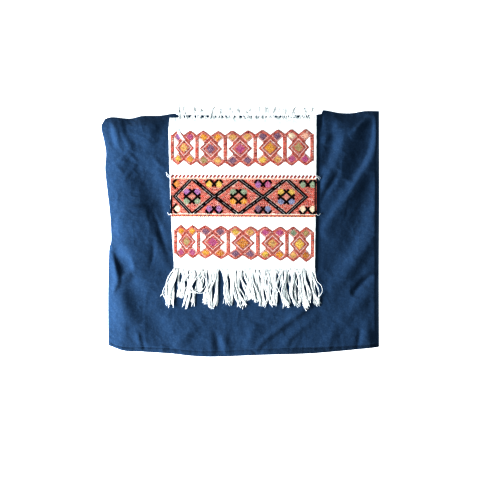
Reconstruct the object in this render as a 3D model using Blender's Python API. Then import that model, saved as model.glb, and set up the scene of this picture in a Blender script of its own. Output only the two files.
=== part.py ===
"""Empty pillowcase with a fringed brocade panel sewn on its front.

The case lies slack and face up on a flat surface. Its navy front and back are joined along the
left, top and right seams and are open along the bottom edge. A white woven panel lies on the
front, and the loose warp ends of that panel are a comb of bunched threads at both of its ends.

+X runs to the case's right, +Y to the top seam and +Z up. The origin is on the surface, under
the middle of the case. Plan sizes in the tables are millimetres, and meshes are made in metres.
"""

from collections import namedtuple

import bmesh
import bpy
import numpy as np

MM = 0.001

# The case, lying empty (mm)
CLOTH = 1.3  # thickness of the front and of the back
PANEL_CLOTH = 1.6
GAP = 0.3  # between two cloths that touch
LEFT, RIGHT = -225.0, 226.0  # mean side seams
MOUTH, TOP = -195.0, 193.5  # mean open edge and mean top seam
LOFT = 9.0  # how far the slack front stands off the back
MOUTH_LOFT = 7.0
SEAM_RISE = 32.0  # distance from a seam over which the front reaches its loft
RIGHT_STEEPNESS = 4.0  # the right side rises this many times faster
MOUTH_BLEND = 70.0
SEAM_HOLD = 14.0  # seams hold folds down within this distance
EDGE_BLEND = 45.0  # an uneven edge shifts the cloth this far in
BACK_INSET = 1.0
SIDE_COLUMNS, PANEL_COLUMNS, CASE_ROWS = 11, 16, 35

# The woven panel (mm)
PANEL_SIDE_FADE = 16.0  # folds rise to full height this far outside the panel
PANEL_PRESS = 0.3  # share of a fold's height that is left under the panel's edge
PANEL_STIFFNESS = 6.0  # the panel bridges hollows narrower than twice this
PANEL_ROWS = 22
TOOTH_STEPS = (0.22, 0.55, 0.8, 1.0)  # shares of a bunch's length where it is shaped
EDGE_CLEARANCE = 2.1  # loose threads pass over the top seam at this distance
DROP_LENGTH = 13.0  # and come down to the surface over this one
THREAD_REST = 0.5

FOLD_SAMPLES = 8  # straight steps between two points of a fold's path
FOLD_FADE = 0.6
TROUGH_LIMIT = 6.5  # troughs that cross flatten out above this depth

Edge = namedtuple("Edge", "along across")
Fold = namedtuple("Fold", "height left right path")
Bunch = namedtuple("Bunch", "root_end tip tip_width length")

# Uneven outline: where the cloth's edge lies, going up a side or to the right along an end.
LEFT_EDGE = (
    Edge(-195, -221), Edge(-150, -221.5), Edge(-90, -221.5), Edge(-30, -220), Edge(-12, -216.5),
    Edge(30, -218.5), Edge(70, -223), Edge(105, -226.5), Edge(130, -225), Edge(150, -228),
    Edge(178, -233), Edge(193.5, -227),
)
RIGHT_EDGE = (Edge(-195, 225), Edge(-70, 224.6), Edge(60, 225.2), Edge(193.5, 225))
MOUTH_EDGE = (
    Edge(-225, -186), Edge(-196, -194.5), Edge(-166, -196), Edge(-116, -199.2),
    Edge(-86, -202.7), Edge(-47, -204.3), Edge(32, -201.4), Edge(101, -199.4),
    Edge(141, -196.6), Edge(190, -192), Edge(226, -188.5),
)
TOP_EDGE = (
    Edge(-230, 186), Edge(-214, 190), Edge(-186, 187.5), Edge(-166, 192), Edge(-136, 192.5),
    Edge(-112, 196), Edge(-90, 193.5), Edge(112, 193.5), Edge(131, 201.5), Edge(160, 197),
    Edge(180, 196.5), Edge(202, 200), Edge(226, 200),
)
PANEL_LEFT = (
    Edge(-61, -112), Edge(20, -117), Edge(95, -119.5), Edge(165, -121.2), Edge(189, -119.5),
)
PANEL_RIGHT = (Edge(-61, 119.2), Edge(40, 120.5), Edge(110, 121.5), Edge(189, 121.8))
PANEL_BOTTOM, PANEL_TOP = -61.0, 189.0

# Main folds of the front. A ridge has a positive height and a trough a negative one; left and
# right are the reach of the flank on that hand, walking along the path.
FOLDS = (
    # top left corner and the lump beside it
    Fold(2.2, 16, 20, ((-192, 172), (-165, 172), (-140, 150))),
    Fold(2.4, 5, 6, ((-216, 186), (-208, 164), (-202, 142))),
    Fold(2.2, 6, 5, ((-203, 184), (-195, 160), (-180, 132))),
    Fold(-2.2, 5, 5, ((-217, 180), (-218, 160), (-209, 134))),
    # step beside the panel's top corner
    Fold(3.0, 20, 9, ((-160, 142), (-148, 172), (-131, 188), (-104, 195))),
    # broad trough from the corner down to the panel, and the arc below it
    Fold(-7.0, 15, 15, ((-187, 124), (-168, 106), (-154, 84), (-144, 58), (-131, 37), (-119, 16))),
    Fold(3.2, 5, 20, ((-216, 0), (-203, 24), (-187, 39), (-155, 41))),
    # fan of folds beside the panel's lower half
    Fold(-3.0, 5, 6, ((-152, 40), (-140, 12), (-130, -10), (-116, -38))),
    Fold(1.6, 12, 10, ((-149, 2), (-136, -30), (-122, -58))),
    Fold(-1.3, 4, 4, ((-146, -6), (-147, -35), (-153, -62))),
    # pinch at the left seam, with the cloth bulging over it
    Fold(3.2, 28, 14, ((-200, -6), (-188, -34), (-170, -62), (-154, -94))),
    Fold(5.0, 5, 8, ((-222, -22), (-214, -44), (-208, -64), (-206, -79), (-211, -92), (-220, -108))),
    Fold(-6.0, 15, 8, ((-214, -26), (-201, -46), (-190, -68))),
    Fold(2.4, 4, 6, ((-208, -81), (-195, -75), (-182, -67))),
    Fold(3.4, 15, 18, ((-207, -98), (-197, -118), (-188, -138), (-180, -154))),
    Fold(-2.6, 14, 16, ((-190, -80), (-174, -104), (-157, -134))),
    # lower left corner and the rounded bumps over the hem
    Fold(-3.0, 16, 16, ((-150, -128), (-137, -160), (-132, -186))),
    Fold(3.0, 10, 10, ((-112, -188), (-95, -172), (-76, -152))),
    Fold(-2.2, 5, 5, ((-46, -164), (-41, -180), (-38, -202))),
    Fold(1.8, 6, 8, ((-31, -166), (-29, -182), (-27, -202))),
    Fold(3.0, 11, 13, ((8, -192), (15, -172), (24, -150))),
    # diagonal creases under the fringe's right half
    Fold(3.2, 6, 5, ((18, -196), (36, -177), (60, -158), (96, -131), (122, -112))),
    Fold(2.2, 6, 6, ((62, -194), (82, -170), (122, -138))),
    # lower right corner
    Fold(2.2, 9, 9, ((138, -192), (146, -172), (158, -150))),
    Fold(-2.2, 4, 4, ((194, -156), (189, -196))),
    Fold(1.6, 7, 7, ((206, -140), (204, -192))),
    Fold(-2.5, 5, 5, ((218, -160), (218, -192))),
    # long folds falling left from the top right corner
    Fold(-3.0, 8, 8, ((146, 180), (147, 146), (134, 108))),
    Fold(5.0, 22, 10, ((152, 197), (168, 165), (158, 124), (134, 78), (116, 50))),
    Fold(2.0, 6, 6, ((160, 176), (146, 162), (130, 148))),
    Fold(-3.2, 5, 5, ((160, 102), (146, 80), (126, 48))),
    Fold(-5.0, 6, 15, ((212, 194), (211, 168), (205, 138), (194, 110), (178, 84))),
    Fold(3.0, 8, 4, ((214, 198), (197, 179), (176, 160))),
    Fold(6.0, 13, 7, ((217, 202), (224, 165), (216, 132), (194, 94), (174, 64), (148, 26), (128, -6))),
    Fold(-5.0, 12, 13, ((214, 98), (206, 66), (199, 38), (189, 8), (170, -26), (140, -64))),
    Fold(5.0, 11, 13, ((230, 16), (211, -11), (192, -37), (172, -66), (140, -96))),
    Fold(-6.5, 4.5, 5, ((232, -60), (208, -74), (193, -87), (180, -102))),
    Fold(3.2, 10, 12, ((228, -84), (206, -100), (186, -124), (154, -146))),
    # broad swell that lets the cloth beside the panel fall away
    Fold(2.2, 26, 22, ((-176, 66), (-168, 10), (-160, -58))),
    # slow waves under the panel
    Fold(1.6, 42, 42, ((-70, 160), (-30, 60), (-44, -60))),
    Fold(1.4, 36, 36, ((78, 150), (60, 40), (76, -60))),
)

# Bunches of loose warp ends, left to right: where each one's root ends along the panel's edge,
# and where its tip lies, how wide the tip is and how long the bunch is.
LOWER_FRINGE = (
    Bunch(-103, -119.5, 13, 56), Bunch(-90, -103, 6, 44), Bunch(-73, -89, 15, 56),
    Bunch(-60, -70, 5, 34), Bunch(-50, -59.5, 7, 53), Bunch(-37, -48.5, 9, 58),
    Bunch(-22, -24, 11, 56), Bunch(-4, -1, 12, 58), Bunch(10.5, 14, 7, 48),
    Bunch(25.5, 25.5, 8, 53), Bunch(45, 40, 13, 58), Bunch(60, 52, 6, 56),
    Bunch(75, 72.5, 9, 58), Bunch(90, 89, 10, 56), Bunch(104.5, 104.5, 11, 58),
    Bunch(119.2, 122.5, 11, 56),
)
UPPER_FRINGE = (
    Bunch(-102, -103, 12, 35), Bunch(-88, -94, 8, 31), Bunch(-73, -76, 10, 23),
    Bunch(-57, -66, 9, 19), Bunch(-43, -46, 9, 22), Bunch(-28, -38, 8, 20),
    Bunch(-13, -17, 10, 22), Bunch(2, -6, 8, 19), Bunch(17, 13, 10, 22),
    Bunch(32, 26, 9, 26), Bunch(46, 39, 11, 28), Bunch(60, 60, 9, 23),
    Bunch(76, 70, 9, 21), Bunch(92, 88, 10, 23), Bunch(108, 101, 9, 21),
    Bunch(121.8, 118, 10, 24),
)

NAVY = (0.030, 0.075, 0.165, 1.0)
NAVY_BACK = (0.026, 0.066, 0.150, 1.0)
WHITE = (0.86, 0.86, 0.84, 1.0)


def clear_scene():
    for obj in list(bpy.data.objects):
        bpy.data.objects.remove(obj, do_unlink=True)


def ease(share):
    """0 to 1, level at both ends."""
    share = np.clip(share, 0.0, 1.0)
    return share * share * (3.0 - 2.0 * share)


def smooth_curve(points, per_step):
    """Catmull-Rom curve through the points, with per_step straight steps between two of them."""
    points = np.array(points, float)
    ends = np.concatenate([2 * points[:1] - points[1:2], points, 2 * points[-1:] - points[-2:-1]])
    share = np.arange(per_step)[:, None] / per_step
    pieces = []
    for before, start, end, after in zip(ends, ends[1:], ends[2:], ends[3:]):
        pieces.append(
            start
            + share * (end - before) / 2
            + share**2 * (before - 2.5 * start + 2 * end - after / 2)
            + share**3 * (1.5 * (start - end) + (after - before) / 2)
        )
    return np.concatenate([*pieces, points[-1:]])


def edge_at(edge, along):
    """Where an uneven edge lies, at each place along it."""
    curve = smooth_curve(edge, FOLD_SAMPLES)
    return np.interp(along, curve[:, 0], curve[:, 1])


def fold_heights(x, y):
    """All folds together, each a bell across its path that fades out at both ends."""
    total = np.zeros_like(x)
    for fold in FOLDS:
        spine = smooth_curve(fold.path, FOLD_SAMPLES)
        start, step = spine[:-1], np.diff(spine, axis=0)
        from_x = x[:, None] - start[:, 0]
        from_y = y[:, None] - start[:, 1]
        share = (from_x * step[:, 0] + from_y * step[:, 1]) / (step**2).sum(1)
        share = np.clip(share, 0.0, 1.0)
        away = np.hypot(from_x - share * step[:, 0], from_y - share * step[:, 1])
        nearest = away.argmin(1)
        row = np.arange(len(x))
        progress = (nearest + share[row, nearest]) / len(step)
        turn = step[:, 0] * from_y - step[:, 1] * from_x
        reach = np.where(turn[row, nearest] > 0, fold.left, fold.right)
        fade = (4 * progress * (1 - progress)) ** FOLD_FADE
        total += fold.height * fade * np.exp(-((away[row, nearest] / reach) ** 2))
    sunk = TROUGH_LIMIT * (1 - np.exp(np.minimum(total, 0) / TROUGH_LIMIT))
    return np.maximum(total, 0) - sunk


def beside_panel(x, y):
    """How much of a fold is left near the panel, which presses the front flat."""
    out_x = np.maximum(edge_at(PANEL_LEFT, y) - x, x - edge_at(PANEL_RIGHT, y))
    out_y = np.maximum(PANEL_BOTTOM - y, y - PANEL_TOP)
    outside = np.maximum(out_x, out_y)
    return PANEL_PRESS + (1 - PANEL_PRESS) * ease(outside / PANEL_SIDE_FADE)


def front_underside(x, y):
    """Height of the front's lower face."""
    to_right = RIGHT_STEEPNESS * (edge_at(RIGHT_EDGE, y) - x)
    to_side = np.minimum(x - edge_at(LEFT_EDGE, y), to_right)
    to_top = edge_at(TOP_EDGE, x) - y
    to_mouth = y - edge_at(MOUTH_EDGE, x)
    rise = np.sin(np.pi / 2 * np.clip(to_side / SEAM_RISE, 0, 1))
    rise = rise * np.sin(np.pi / 2 * np.clip(to_top / SEAM_RISE, 0, 1))
    loft = MOUTH_LOFT + (LOFT - MOUTH_LOFT) * ease(to_mouth / MOUTH_BLEND)
    hold = ease(np.minimum(to_side, to_top) / SEAM_HOLD)
    lift = rise * loft + hold * beside_panel(x, y) * fold_heights(x, y)
    floor = CLOTH + GAP
    return floor + np.where(lift > 1, lift, np.exp(np.minimum(lift, 1) - 1))


def panel_underside(x, y):
    """The panel lies on the highest cloth near each of its points."""
    around = np.linspace(0, 2 * np.pi, 8, endpoint=False)
    highest = front_underside(x, y)
    for angle in around:
        near = front_underside(
            x + PANEL_STIFFNESS * np.cos(angle), y + PANEL_STIFFNESS * np.sin(angle)
        )
        highest = np.maximum(highest, near)
    return highest + CLOTH + GAP


def upper_fringe_underside(x, y):
    """Over the top seam with clearance, then down to the surface beyond it."""
    beyond = y - edge_at(TOP_EDGE, x)
    seam_height = 2 * CLOTH + GAP + EDGE_CLEARANCE + 1.0
    over = np.maximum(panel_underside(x, np.minimum(y, PANEL_TOP)), seam_height)
    drop = ease((beyond - EDGE_CLEARANCE) / DROP_LENGTH)
    return over + (THREAD_REST - over) * drop


def grid_columns():
    """Grid lines across the case: close beside the panel and wide apart under it."""
    panel_left, panel_right = PANEL_LEFT[0].across, PANEL_RIGHT[0].across
    return np.concatenate([
        np.linspace(LEFT, panel_left, SIDE_COLUMNS, endpoint=False),
        np.linspace(panel_left, panel_right, PANEL_COLUMNS, endpoint=False),
        np.linspace(panel_right, RIGHT, SIDE_COLUMNS + 1),
    ])


def case_outline(x, y, inset=0.0):
    """Moves a rectangular grid's points so that its rim follows the uneven edges."""
    left = ease(1 - (x - LEFT) / EDGE_BLEND)
    right = ease(1 - (RIGHT - x) / EDGE_BLEND)
    mouth = ease(1 - (y - MOUTH) / EDGE_BLEND)
    top = ease(1 - (TOP - y) / EDGE_BLEND)
    new_x = x + left * (edge_at(LEFT_EDGE, y) + inset - LEFT)
    new_x = new_x + right * (edge_at(RIGHT_EDGE, y) - inset - RIGHT)
    new_y = y + mouth * (edge_at(MOUTH_EDGE, x) + inset - MOUTH)
    new_y = new_y + top * (edge_at(TOP_EDGE, x) - inset - TOP)
    return new_x, new_y


def cloth_material(name, colour, roughness):
    material = bpy.data.materials.new(name)
    material.use_nodes = True
    shader = material.node_tree.nodes["Principled BSDF"]
    shader.inputs["Base Color"].default_value = colour
    shader.inputs["Roughness"].default_value = roughness
    shader.inputs["Metallic"].default_value = 0.0
    material.diffuse_color = colour
    return material


def thicken(bm, thickness):
    """Turns one layer of faces, at the underside, into a closed sheet."""
    bmesh.ops.triangulate(bm, faces=bm.faces[:], quad_method="FIXED")
    made = bmesh.ops.extrude_face_region(bm, geom=bm.faces[:], use_keep_orig=True)
    upper = [item for item in made["geom"] if isinstance(item, bmesh.types.BMVert)]
    bmesh.ops.translate(bm, vec=(0, 0, thickness * MM), verts=upper)
    bmesh.ops.recalc_face_normals(bm, faces=bm.faces[:])


def add_sheet(name, bm, thickness, material):
    thicken(bm, thickness)
    mesh = bpy.data.meshes.new(name)
    bm.to_mesh(mesh)
    bm.free()
    mesh.shade_smooth()
    mesh.set_sharp_from_angle(angle=np.radians(60))
    mesh.materials.append(material)
    obj = bpy.data.objects.new(name, mesh)
    bpy.context.scene.collection.objects.link(obj)
    return obj


def case_grid(underside, inset):
    """One layer of the case, from its grid lines to its uneven outline."""
    columns = grid_columns()
    rows = np.linspace(MOUTH, TOP, CASE_ROWS + 1)
    bm = bmesh.new()
    made = bmesh.ops.create_grid(bm, x_segments=len(columns) - 1, y_segments=CASE_ROWS, size=0.5)
    verts = made["verts"]
    across = np.array([vert.co.x + 0.5 for vert in verts])
    up = np.array([vert.co.y + 0.5 for vert in verts])
    x = np.interp(across, np.linspace(0, 1, len(columns)), columns)
    y = np.interp(up, np.linspace(0, 1, len(rows)), rows)
    x, y = case_outline(x, y, inset)
    for vert, place in zip(verts, zip(x, y, underside(x, y))):
        vert.co = [value * MM for value in place]
    return bm


def build_front():
    bm = case_grid(front_underside, 0.0)
    return add_sheet("case_front", bm, CLOTH, cloth_material("navy_cotton", NAVY, 0.85))


def build_back():
    """The back lies flat, so its inner grid lines are dissolved into one face."""
    bm = case_grid(lambda x, y: np.zeros_like(x), BACK_INSET)
    bmesh.ops.dissolve_faces(bm, faces=bm.faces[:])
    return add_sheet("case_back", bm, CLOTH, cloth_material("navy_cotton_back", NAVY_BACK, 0.85))


def row_of_verts(bm, x, y, underside):
    x, y = np.array(x, float), np.array(y, float)
    return [bm.verts.new([value * MM for value in place]) for place in zip(x, y, underside(x, y))]


def add_comb(bm, root_verts, bunches, edge_y, direction, underside):
    """One tooth for each bunch, from two neighbouring points of the panel's end."""
    for bunch, left, right in zip(bunches, root_verts, root_verts[1:]):
        root_left, root_right = left.co.x / MM, right.co.x / MM
        root = (root_left + root_right) / 2
        root_width = root_right - root_left
        for share in TOOTH_STEPS:
            middle = root + (bunch.tip - root) * share**1.3
            width = root_width + (bunch.tip_width - root_width) * share**0.5
            y = edge_y + direction * bunch.length * share
            x = (middle - width / 2, middle + width / 2)
            new_left, new_right = row_of_verts(bm, x, (y, y), underside)
            bm.faces.new((left, right, new_right, new_left))
            left, right = new_left, new_right


def build_panel():
    bm = bmesh.new()
    lower = np.array([PANEL_LEFT[0].across, *(bunch.root_end for bunch in LOWER_FRINGE)])
    upper = np.array([PANEL_LEFT[-1].across, *(bunch.root_end for bunch in UPPER_FRINGE)])
    rows = []
    for share in np.linspace(0, 1, PANEL_ROWS + 1):
        y = PANEL_BOTTOM + share * (PANEL_TOP - PANEL_BOTTOM)
        x = lower + share * (upper - lower)
        side = np.linspace(0, 1, len(x))
        x = x + (1 - side) * (edge_at(PANEL_LEFT, y) - x[0]) + side * (edge_at(PANEL_RIGHT, y) - x[-1])
        rows.append(row_of_verts(bm, x, np.full(len(x), y), panel_underside))
    for row, above in zip(rows, rows[1:]):
        for left, right, top_right, top_left in zip(row, row[1:], above[1:], above):
            bm.faces.new((left, right, top_right, top_left))
    add_comb(bm, rows[0], LOWER_FRINGE, PANEL_BOTTOM, -1, panel_underside)
    add_comb(bm, rows[-1], UPPER_FRINGE, PANEL_TOP, 1, upper_fringe_underside)
    return add_sheet("woven_panel", bm, PANEL_CLOTH, cloth_material("white_weave", WHITE, 0.9))


def main():
    clear_scene()
    build_back()
    build_front()
    build_panel()


main()
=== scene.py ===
"""Looks of an empty navy pillowcase with a fringed, brocaded white panel on its front.

The packed model is the frame: every piece lies in the space of its solid there. Tables and
settings are in millimetres unless they say otherwise, and meshes are in metres.
"""

from collections import namedtuple
from functools import partial
from math import pi, radians

import bmesh
import bpy
import numpy as np
from bpy.props import FloatProperty, FloatVectorProperty, IntProperty, PointerProperty
from mathutils import Matrix, Vector, noise


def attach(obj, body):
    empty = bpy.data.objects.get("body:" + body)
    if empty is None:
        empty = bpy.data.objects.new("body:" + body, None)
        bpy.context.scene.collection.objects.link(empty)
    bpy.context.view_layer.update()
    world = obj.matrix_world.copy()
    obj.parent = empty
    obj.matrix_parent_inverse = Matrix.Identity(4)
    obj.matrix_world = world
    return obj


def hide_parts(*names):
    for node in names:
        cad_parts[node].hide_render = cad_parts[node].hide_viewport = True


bl_info = {
    "name": "Brocade pillowcase",
    "version": (1, 0, 0),
    "blender": (4, 5, 0),
    "location": "3D View > Sidebar > Pillowcase",
    "description": "Cloth, brocade, fringe and stitching of an empty pillowcase",
    "category": "Object",
}

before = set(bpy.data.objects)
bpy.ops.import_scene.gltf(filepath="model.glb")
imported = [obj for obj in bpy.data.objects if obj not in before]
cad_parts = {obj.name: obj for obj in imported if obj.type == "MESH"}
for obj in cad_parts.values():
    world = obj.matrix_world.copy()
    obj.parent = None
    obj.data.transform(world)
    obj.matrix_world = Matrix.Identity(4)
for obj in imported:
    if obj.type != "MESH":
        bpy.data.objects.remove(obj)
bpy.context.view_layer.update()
MM = 0.001

# The solids' own sizes, which the thin sheets follow
CLOTH = 1.3
PANEL_CLOTH = 1.6
GAP = 0.3
LEFT, RIGHT = -225.0, 226.0
MOUTH, TOP = -195.0, 193.5
LOFT, MOUTH_LOFT = 9.0, 7.0
SEAM_RISE = 32.0  # distance from a seam over which the front reaches its loft
RIGHT_STEEPNESS = 4.0  # the right side rises this many times faster
MOUTH_BLEND = 70.0
SEAM_HOLD = 14.0  # seams hold folds down within this distance
EDGE_BLEND = 45.0  # an uneven edge shifts the cloth this far in
BACK_INSET = 1.0
PANEL_SIDE_FADE = 16.0  # folds rise to full height this far outside the panel
PANEL_PRESS = 0.3  # share of a fold's height that is left under the panel
PANEL_STIFFNESS = 6.0  # the panel bridges hollows narrower than twice this
STIFFNESS_DIRECTIONS = 8
PANEL_BOTTOM, PANEL_TOP = -61.0, 189.0
EDGE_CLEARANCE = 2.1  # loose threads pass over the top seam at this distance
DROP_LENGTH = 13.0  # and come down to the surface over this one
FOLD_SAMPLES = 8  # straight steps between two points of a fold's path
FOLD_FADE = 0.6
FOLD_END = 3  # a fold is taken to be over at this many times its reach
TROUGH_LIMIT = 6.5  # troughs that cross flatten out above this depth

Edge = namedtuple("Edge", "along across")
Fold = namedtuple("Fold", "height left right path")
Bunch = namedtuple("Bunch", "root_end tip tip_width length")
Cell = namedtuple("Cell", "x y half_height top centre bottom")
Pair = namedtuple("Pair", "across side left right")

LEFT_EDGE = (
    Edge(-195, -221), Edge(-150, -221.5), Edge(-90, -221.5), Edge(-30, -220), Edge(-12, -216.5),
    Edge(30, -218.5), Edge(70, -223), Edge(105, -226.5), Edge(130, -225), Edge(150, -228),
    Edge(178, -233), Edge(193.5, -227),
)
RIGHT_EDGE = (Edge(-195, 225), Edge(-70, 224.6), Edge(60, 225.2), Edge(193.5, 225))
MOUTH_EDGE = (
    Edge(-225, -186), Edge(-196, -194.5), Edge(-166, -196), Edge(-116, -199.2),
    Edge(-86, -202.7), Edge(-47, -204.3), Edge(32, -201.4), Edge(101, -199.4),
    Edge(141, -196.6), Edge(190, -192), Edge(226, -188.5),
)
TOP_EDGE = (
    Edge(-230, 186), Edge(-214, 190), Edge(-186, 187.5), Edge(-166, 192), Edge(-136, 192.5),
    Edge(-112, 196), Edge(-90, 193.5), Edge(112, 193.5), Edge(131, 201.5), Edge(160, 197),
    Edge(180, 196.5), Edge(202, 200), Edge(226, 200),
)
PANEL_LEFT = (
    Edge(-61, -112), Edge(20, -117), Edge(95, -119.5), Edge(165, -121.2), Edge(189, -119.5),
)
PANEL_RIGHT = (Edge(-61, 119.2), Edge(40, 120.5), Edge(110, 121.5), Edge(189, 121.8))
# How wide the turned hem is along the mouth
HEM_WIDTH = (
    Edge(-225, 5), Edge(-166, 7), Edge(-111, 8), Edge(-40, 8.5), Edge(30, 9.5), Edge(100, 10),
    Edge(170, 7), Edge(226, 5),
)

# Main folds of the front. A ridge has a positive height and a trough a negative one; left and
# right are the reach of the flank on that hand, walking along the path.
FOLDS = (
    # top left corner and the lump beside it
    Fold(2.2, 16, 20, ((-192, 172), (-165, 172), (-140, 150))),
    Fold(2.4, 5, 6, ((-216, 186), (-208, 164), (-202, 142))),
    Fold(2.2, 6, 5, ((-203, 184), (-195, 160), (-180, 132))),
    Fold(-2.2, 5, 5, ((-217, 180), (-218, 160), (-209, 134))),
    # step beside the panel's top corner
    Fold(3.0, 20, 9, ((-160, 142), (-148, 172), (-131, 188), (-104, 195))),
    # broad trough from the corner down to the panel, and the arc below it
    Fold(-7.0, 15, 15, ((-187, 124), (-168, 106), (-154, 84), (-144, 58), (-131, 37), (-119, 16))),
    Fold(3.2, 5, 20, ((-216, 0), (-203, 24), (-187, 39), (-155, 41))),
    # fan of folds beside the panel's lower half
    Fold(-3.0, 5, 6, ((-152, 40), (-140, 12), (-130, -10), (-116, -38))),
    Fold(1.6, 12, 10, ((-149, 2), (-136, -30), (-122, -58))),
    Fold(-1.3, 4, 4, ((-146, -6), (-147, -35), (-153, -62))),
    # pinch at the left seam, with the cloth bulging over it
    Fold(3.2, 28, 14, ((-200, -6), (-188, -34), (-170, -62), (-154, -94))),
    Fold(5.0, 5, 8, ((-222, -22), (-214, -44), (-208, -64), (-206, -79), (-211, -92), (-220, -108))),
    Fold(-6.0, 15, 8, ((-214, -26), (-201, -46), (-190, -68))),
    Fold(2.4, 4, 6, ((-208, -81), (-195, -75), (-182, -67))),
    Fold(3.4, 15, 18, ((-207, -98), (-197, -118), (-188, -138), (-180, -154))),
    Fold(-2.6, 14, 16, ((-190, -80), (-174, -104), (-157, -134))),
    # lower left corner and the rounded bumps over the hem
    Fold(-3.0, 16, 16, ((-150, -128), (-137, -160), (-132, -186))),
    Fold(3.0, 10, 10, ((-112, -188), (-95, -172), (-76, -152))),
    Fold(-2.2, 5, 5, ((-46, -164), (-41, -180), (-38, -202))),
    Fold(1.8, 6, 8, ((-31, -166), (-29, -182), (-27, -202))),
    Fold(3.0, 11, 13, ((8, -192), (15, -172), (24, -150))),
    # diagonal creases under the fringe's right half
    Fold(3.2, 6, 5, ((18, -196), (36, -177), (60, -158), (96, -131), (122, -112))),
    Fold(2.2, 6, 6, ((62, -194), (82, -170), (122, -138))),
    # lower right corner
    Fold(2.2, 9, 9, ((138, -192), (146, -172), (158, -150))),
    Fold(-2.2, 4, 4, ((194, -156), (189, -196))),
    Fold(1.6, 7, 7, ((206, -140), (204, -192))),
    Fold(-2.5, 5, 5, ((218, -160), (218, -192))),
    # long folds falling left from the top right corner
    Fold(-3.0, 8, 8, ((146, 180), (147, 146), (134, 108))),
    Fold(5.0, 22, 10, ((152, 197), (168, 165), (158, 124), (134, 78), (116, 50))),
    Fold(2.0, 6, 6, ((160, 176), (146, 162), (130, 148))),
    Fold(-3.2, 5, 5, ((160, 102), (146, 80), (126, 48))),
    Fold(-5.0, 6, 15, ((212, 194), (211, 168), (205, 138), (194, 110), (178, 84))),
    Fold(3.0, 8, 4, ((214, 198), (197, 179), (176, 160))),
    Fold(6.0, 13, 7, ((217, 202), (224, 165), (216, 132), (194, 94), (174, 64), (148, 26), (128, -6))),
    Fold(-5.0, 12, 13, ((214, 98), (206, 66), (199, 38), (189, 8), (170, -26), (140, -64))),
    Fold(5.0, 11, 13, ((230, 16), (211, -11), (192, -37), (172, -66), (140, -96))),
    Fold(-6.5, 4.5, 5, ((232, -60), (208, -74), (193, -87), (180, -102))),
    Fold(3.2, 10, 12, ((228, -84), (206, -100), (186, -124), (154, -146))),
    # broad swell that lets the cloth beside the panel fall away
    Fold(2.2, 26, 22, ((-176, 66), (-168, 10), (-160, -58))),
    # slow waves under the panel
    Fold(1.6, 42, 42, ((-70, 160), (-30, 60), (-44, -60))),
    Fold(1.4, 36, 36, ((78, 150), (60, 40), (76, -60))),
)
# Sharper creases, too fine for the solid
CREASES = (
    Fold(1.1, 2.5, 4, ((-191, 136), (-181, 124), (-170, 115))),
    Fold(1.0, 3, 3, ((-178, 146), (-189, 133), (-200, 120), (-212, 110))),
    Fold(1.0, 3, 4, ((-174, 112), (-188, 96), (-197, 82))),
    Fold(0.9, 3, 4, ((-216, 124), (-206, 108), (-196, 98))),
    Fold(0.9, 3, 4, ((-214, 78), (-206, 62), (-209, 46))),
    Fold(0.8, 3, 3, ((-200, 72), (-208, 50), (-206, 36))),
    Fold(1.3, 4, 3, ((-215, 3), (-205, 22))),
    Fold(1.0, 3, 5, ((-152, 38), (-146, 20), (-139, 4))),
    Fold(0.9, 4, 3, ((-134, 4), (-126, -18), (-116, -40))),
    Fold(1.5, 6, 2.4, ((-181, -42), (-178, -64))),
    Fold(1.0, 4, 3, ((-221, -138), (-206, -134))),
    Fold(1.6, 3, 4, ((-173, -164), (-168, -184))),
    Fold(-1.2, 3, 3, ((-164, -180), (-162, -194))),
    Fold(1.3, 3, 4, ((197, 179), (182, 166))),
    Fold(-1.2, 3, 3, ((186, 90), (172, 66), (160, 50))),
    Fold(1.0, 3, 4, ((-150, 128), (-136, 112), (-125, 104))),
)

# Bunches of loose warp ends, left to right
LOWER_FRINGE = (
    Bunch(-103, -119.5, 13, 56), Bunch(-90, -103, 6, 44), Bunch(-73, -89, 15, 56),
    Bunch(-60, -70, 5, 34), Bunch(-50, -59.5, 7, 53), Bunch(-37, -48.5, 9, 58),
    Bunch(-22, -24, 11, 56), Bunch(-4, -1, 12, 58), Bunch(10.5, 14, 7, 48),
    Bunch(25.5, 25.5, 8, 53), Bunch(45, 40, 13, 58), Bunch(60, 52, 6, 56),
    Bunch(75, 72.5, 9, 58), Bunch(90, 89, 10, 56), Bunch(104.5, 104.5, 11, 58),
    Bunch(119.2, 122.5, 11, 56),
)
UPPER_FRINGE = (
    Bunch(-102, -103, 12, 35), Bunch(-88, -94, 8, 31), Bunch(-73, -76, 10, 23),
    Bunch(-57, -66, 9, 19), Bunch(-43, -46, 9, 22), Bunch(-28, -38, 8, 20),
    Bunch(-13, -17, 10, 22), Bunch(2, -6, 8, 19), Bunch(17, 13, 10, 22),
    Bunch(32, 26, 9, 26), Bunch(46, 39, 11, 28), Bunch(60, 60, 9, 23),
    Bunch(76, 70, 9, 21), Bunch(92, 88, 10, 23), Bunch(108, 101, 9, 21),
    Bunch(121.8, 118, 10, 24),
)

# Yarn colours, as the share of red, green and blue light that they give back
YARNS = {
    "coral": (0.490, 0.120, 0.085),
    "rose": (0.479, 0.194, 0.150),
    "scarlet": (0.467, 0.087, 0.060),
    "deep_red": (0.217, 0.045, 0.047),
    "brick": (0.269, 0.058, 0.053),
    "black": (0.007, 0.004, 0.005),
    "ash": (0.430, 0.405, 0.420),
    "blush": (0.538, 0.433, 0.378),
    "cream": (0.690, 0.560, 0.420),
    "peach": (0.680, 0.420, 0.320),
    "yellow": (0.560, 0.395, 0.080),
    "amber": (0.575, 0.300, 0.040),
    "orange": (0.503, 0.224, 0.042),
    "straw": (0.540, 0.345, 0.120),
    "olive": (0.355, 0.280, 0.130),
    "sage": (0.237, 0.305, 0.210),
    "violet": (0.305, 0.130, 0.315),
    "magenta": (0.395, 0.083, 0.215),
    "indigo": (0.190, 0.105, 0.172),
    "slate": (0.205, 0.233, 0.364),
}
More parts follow.
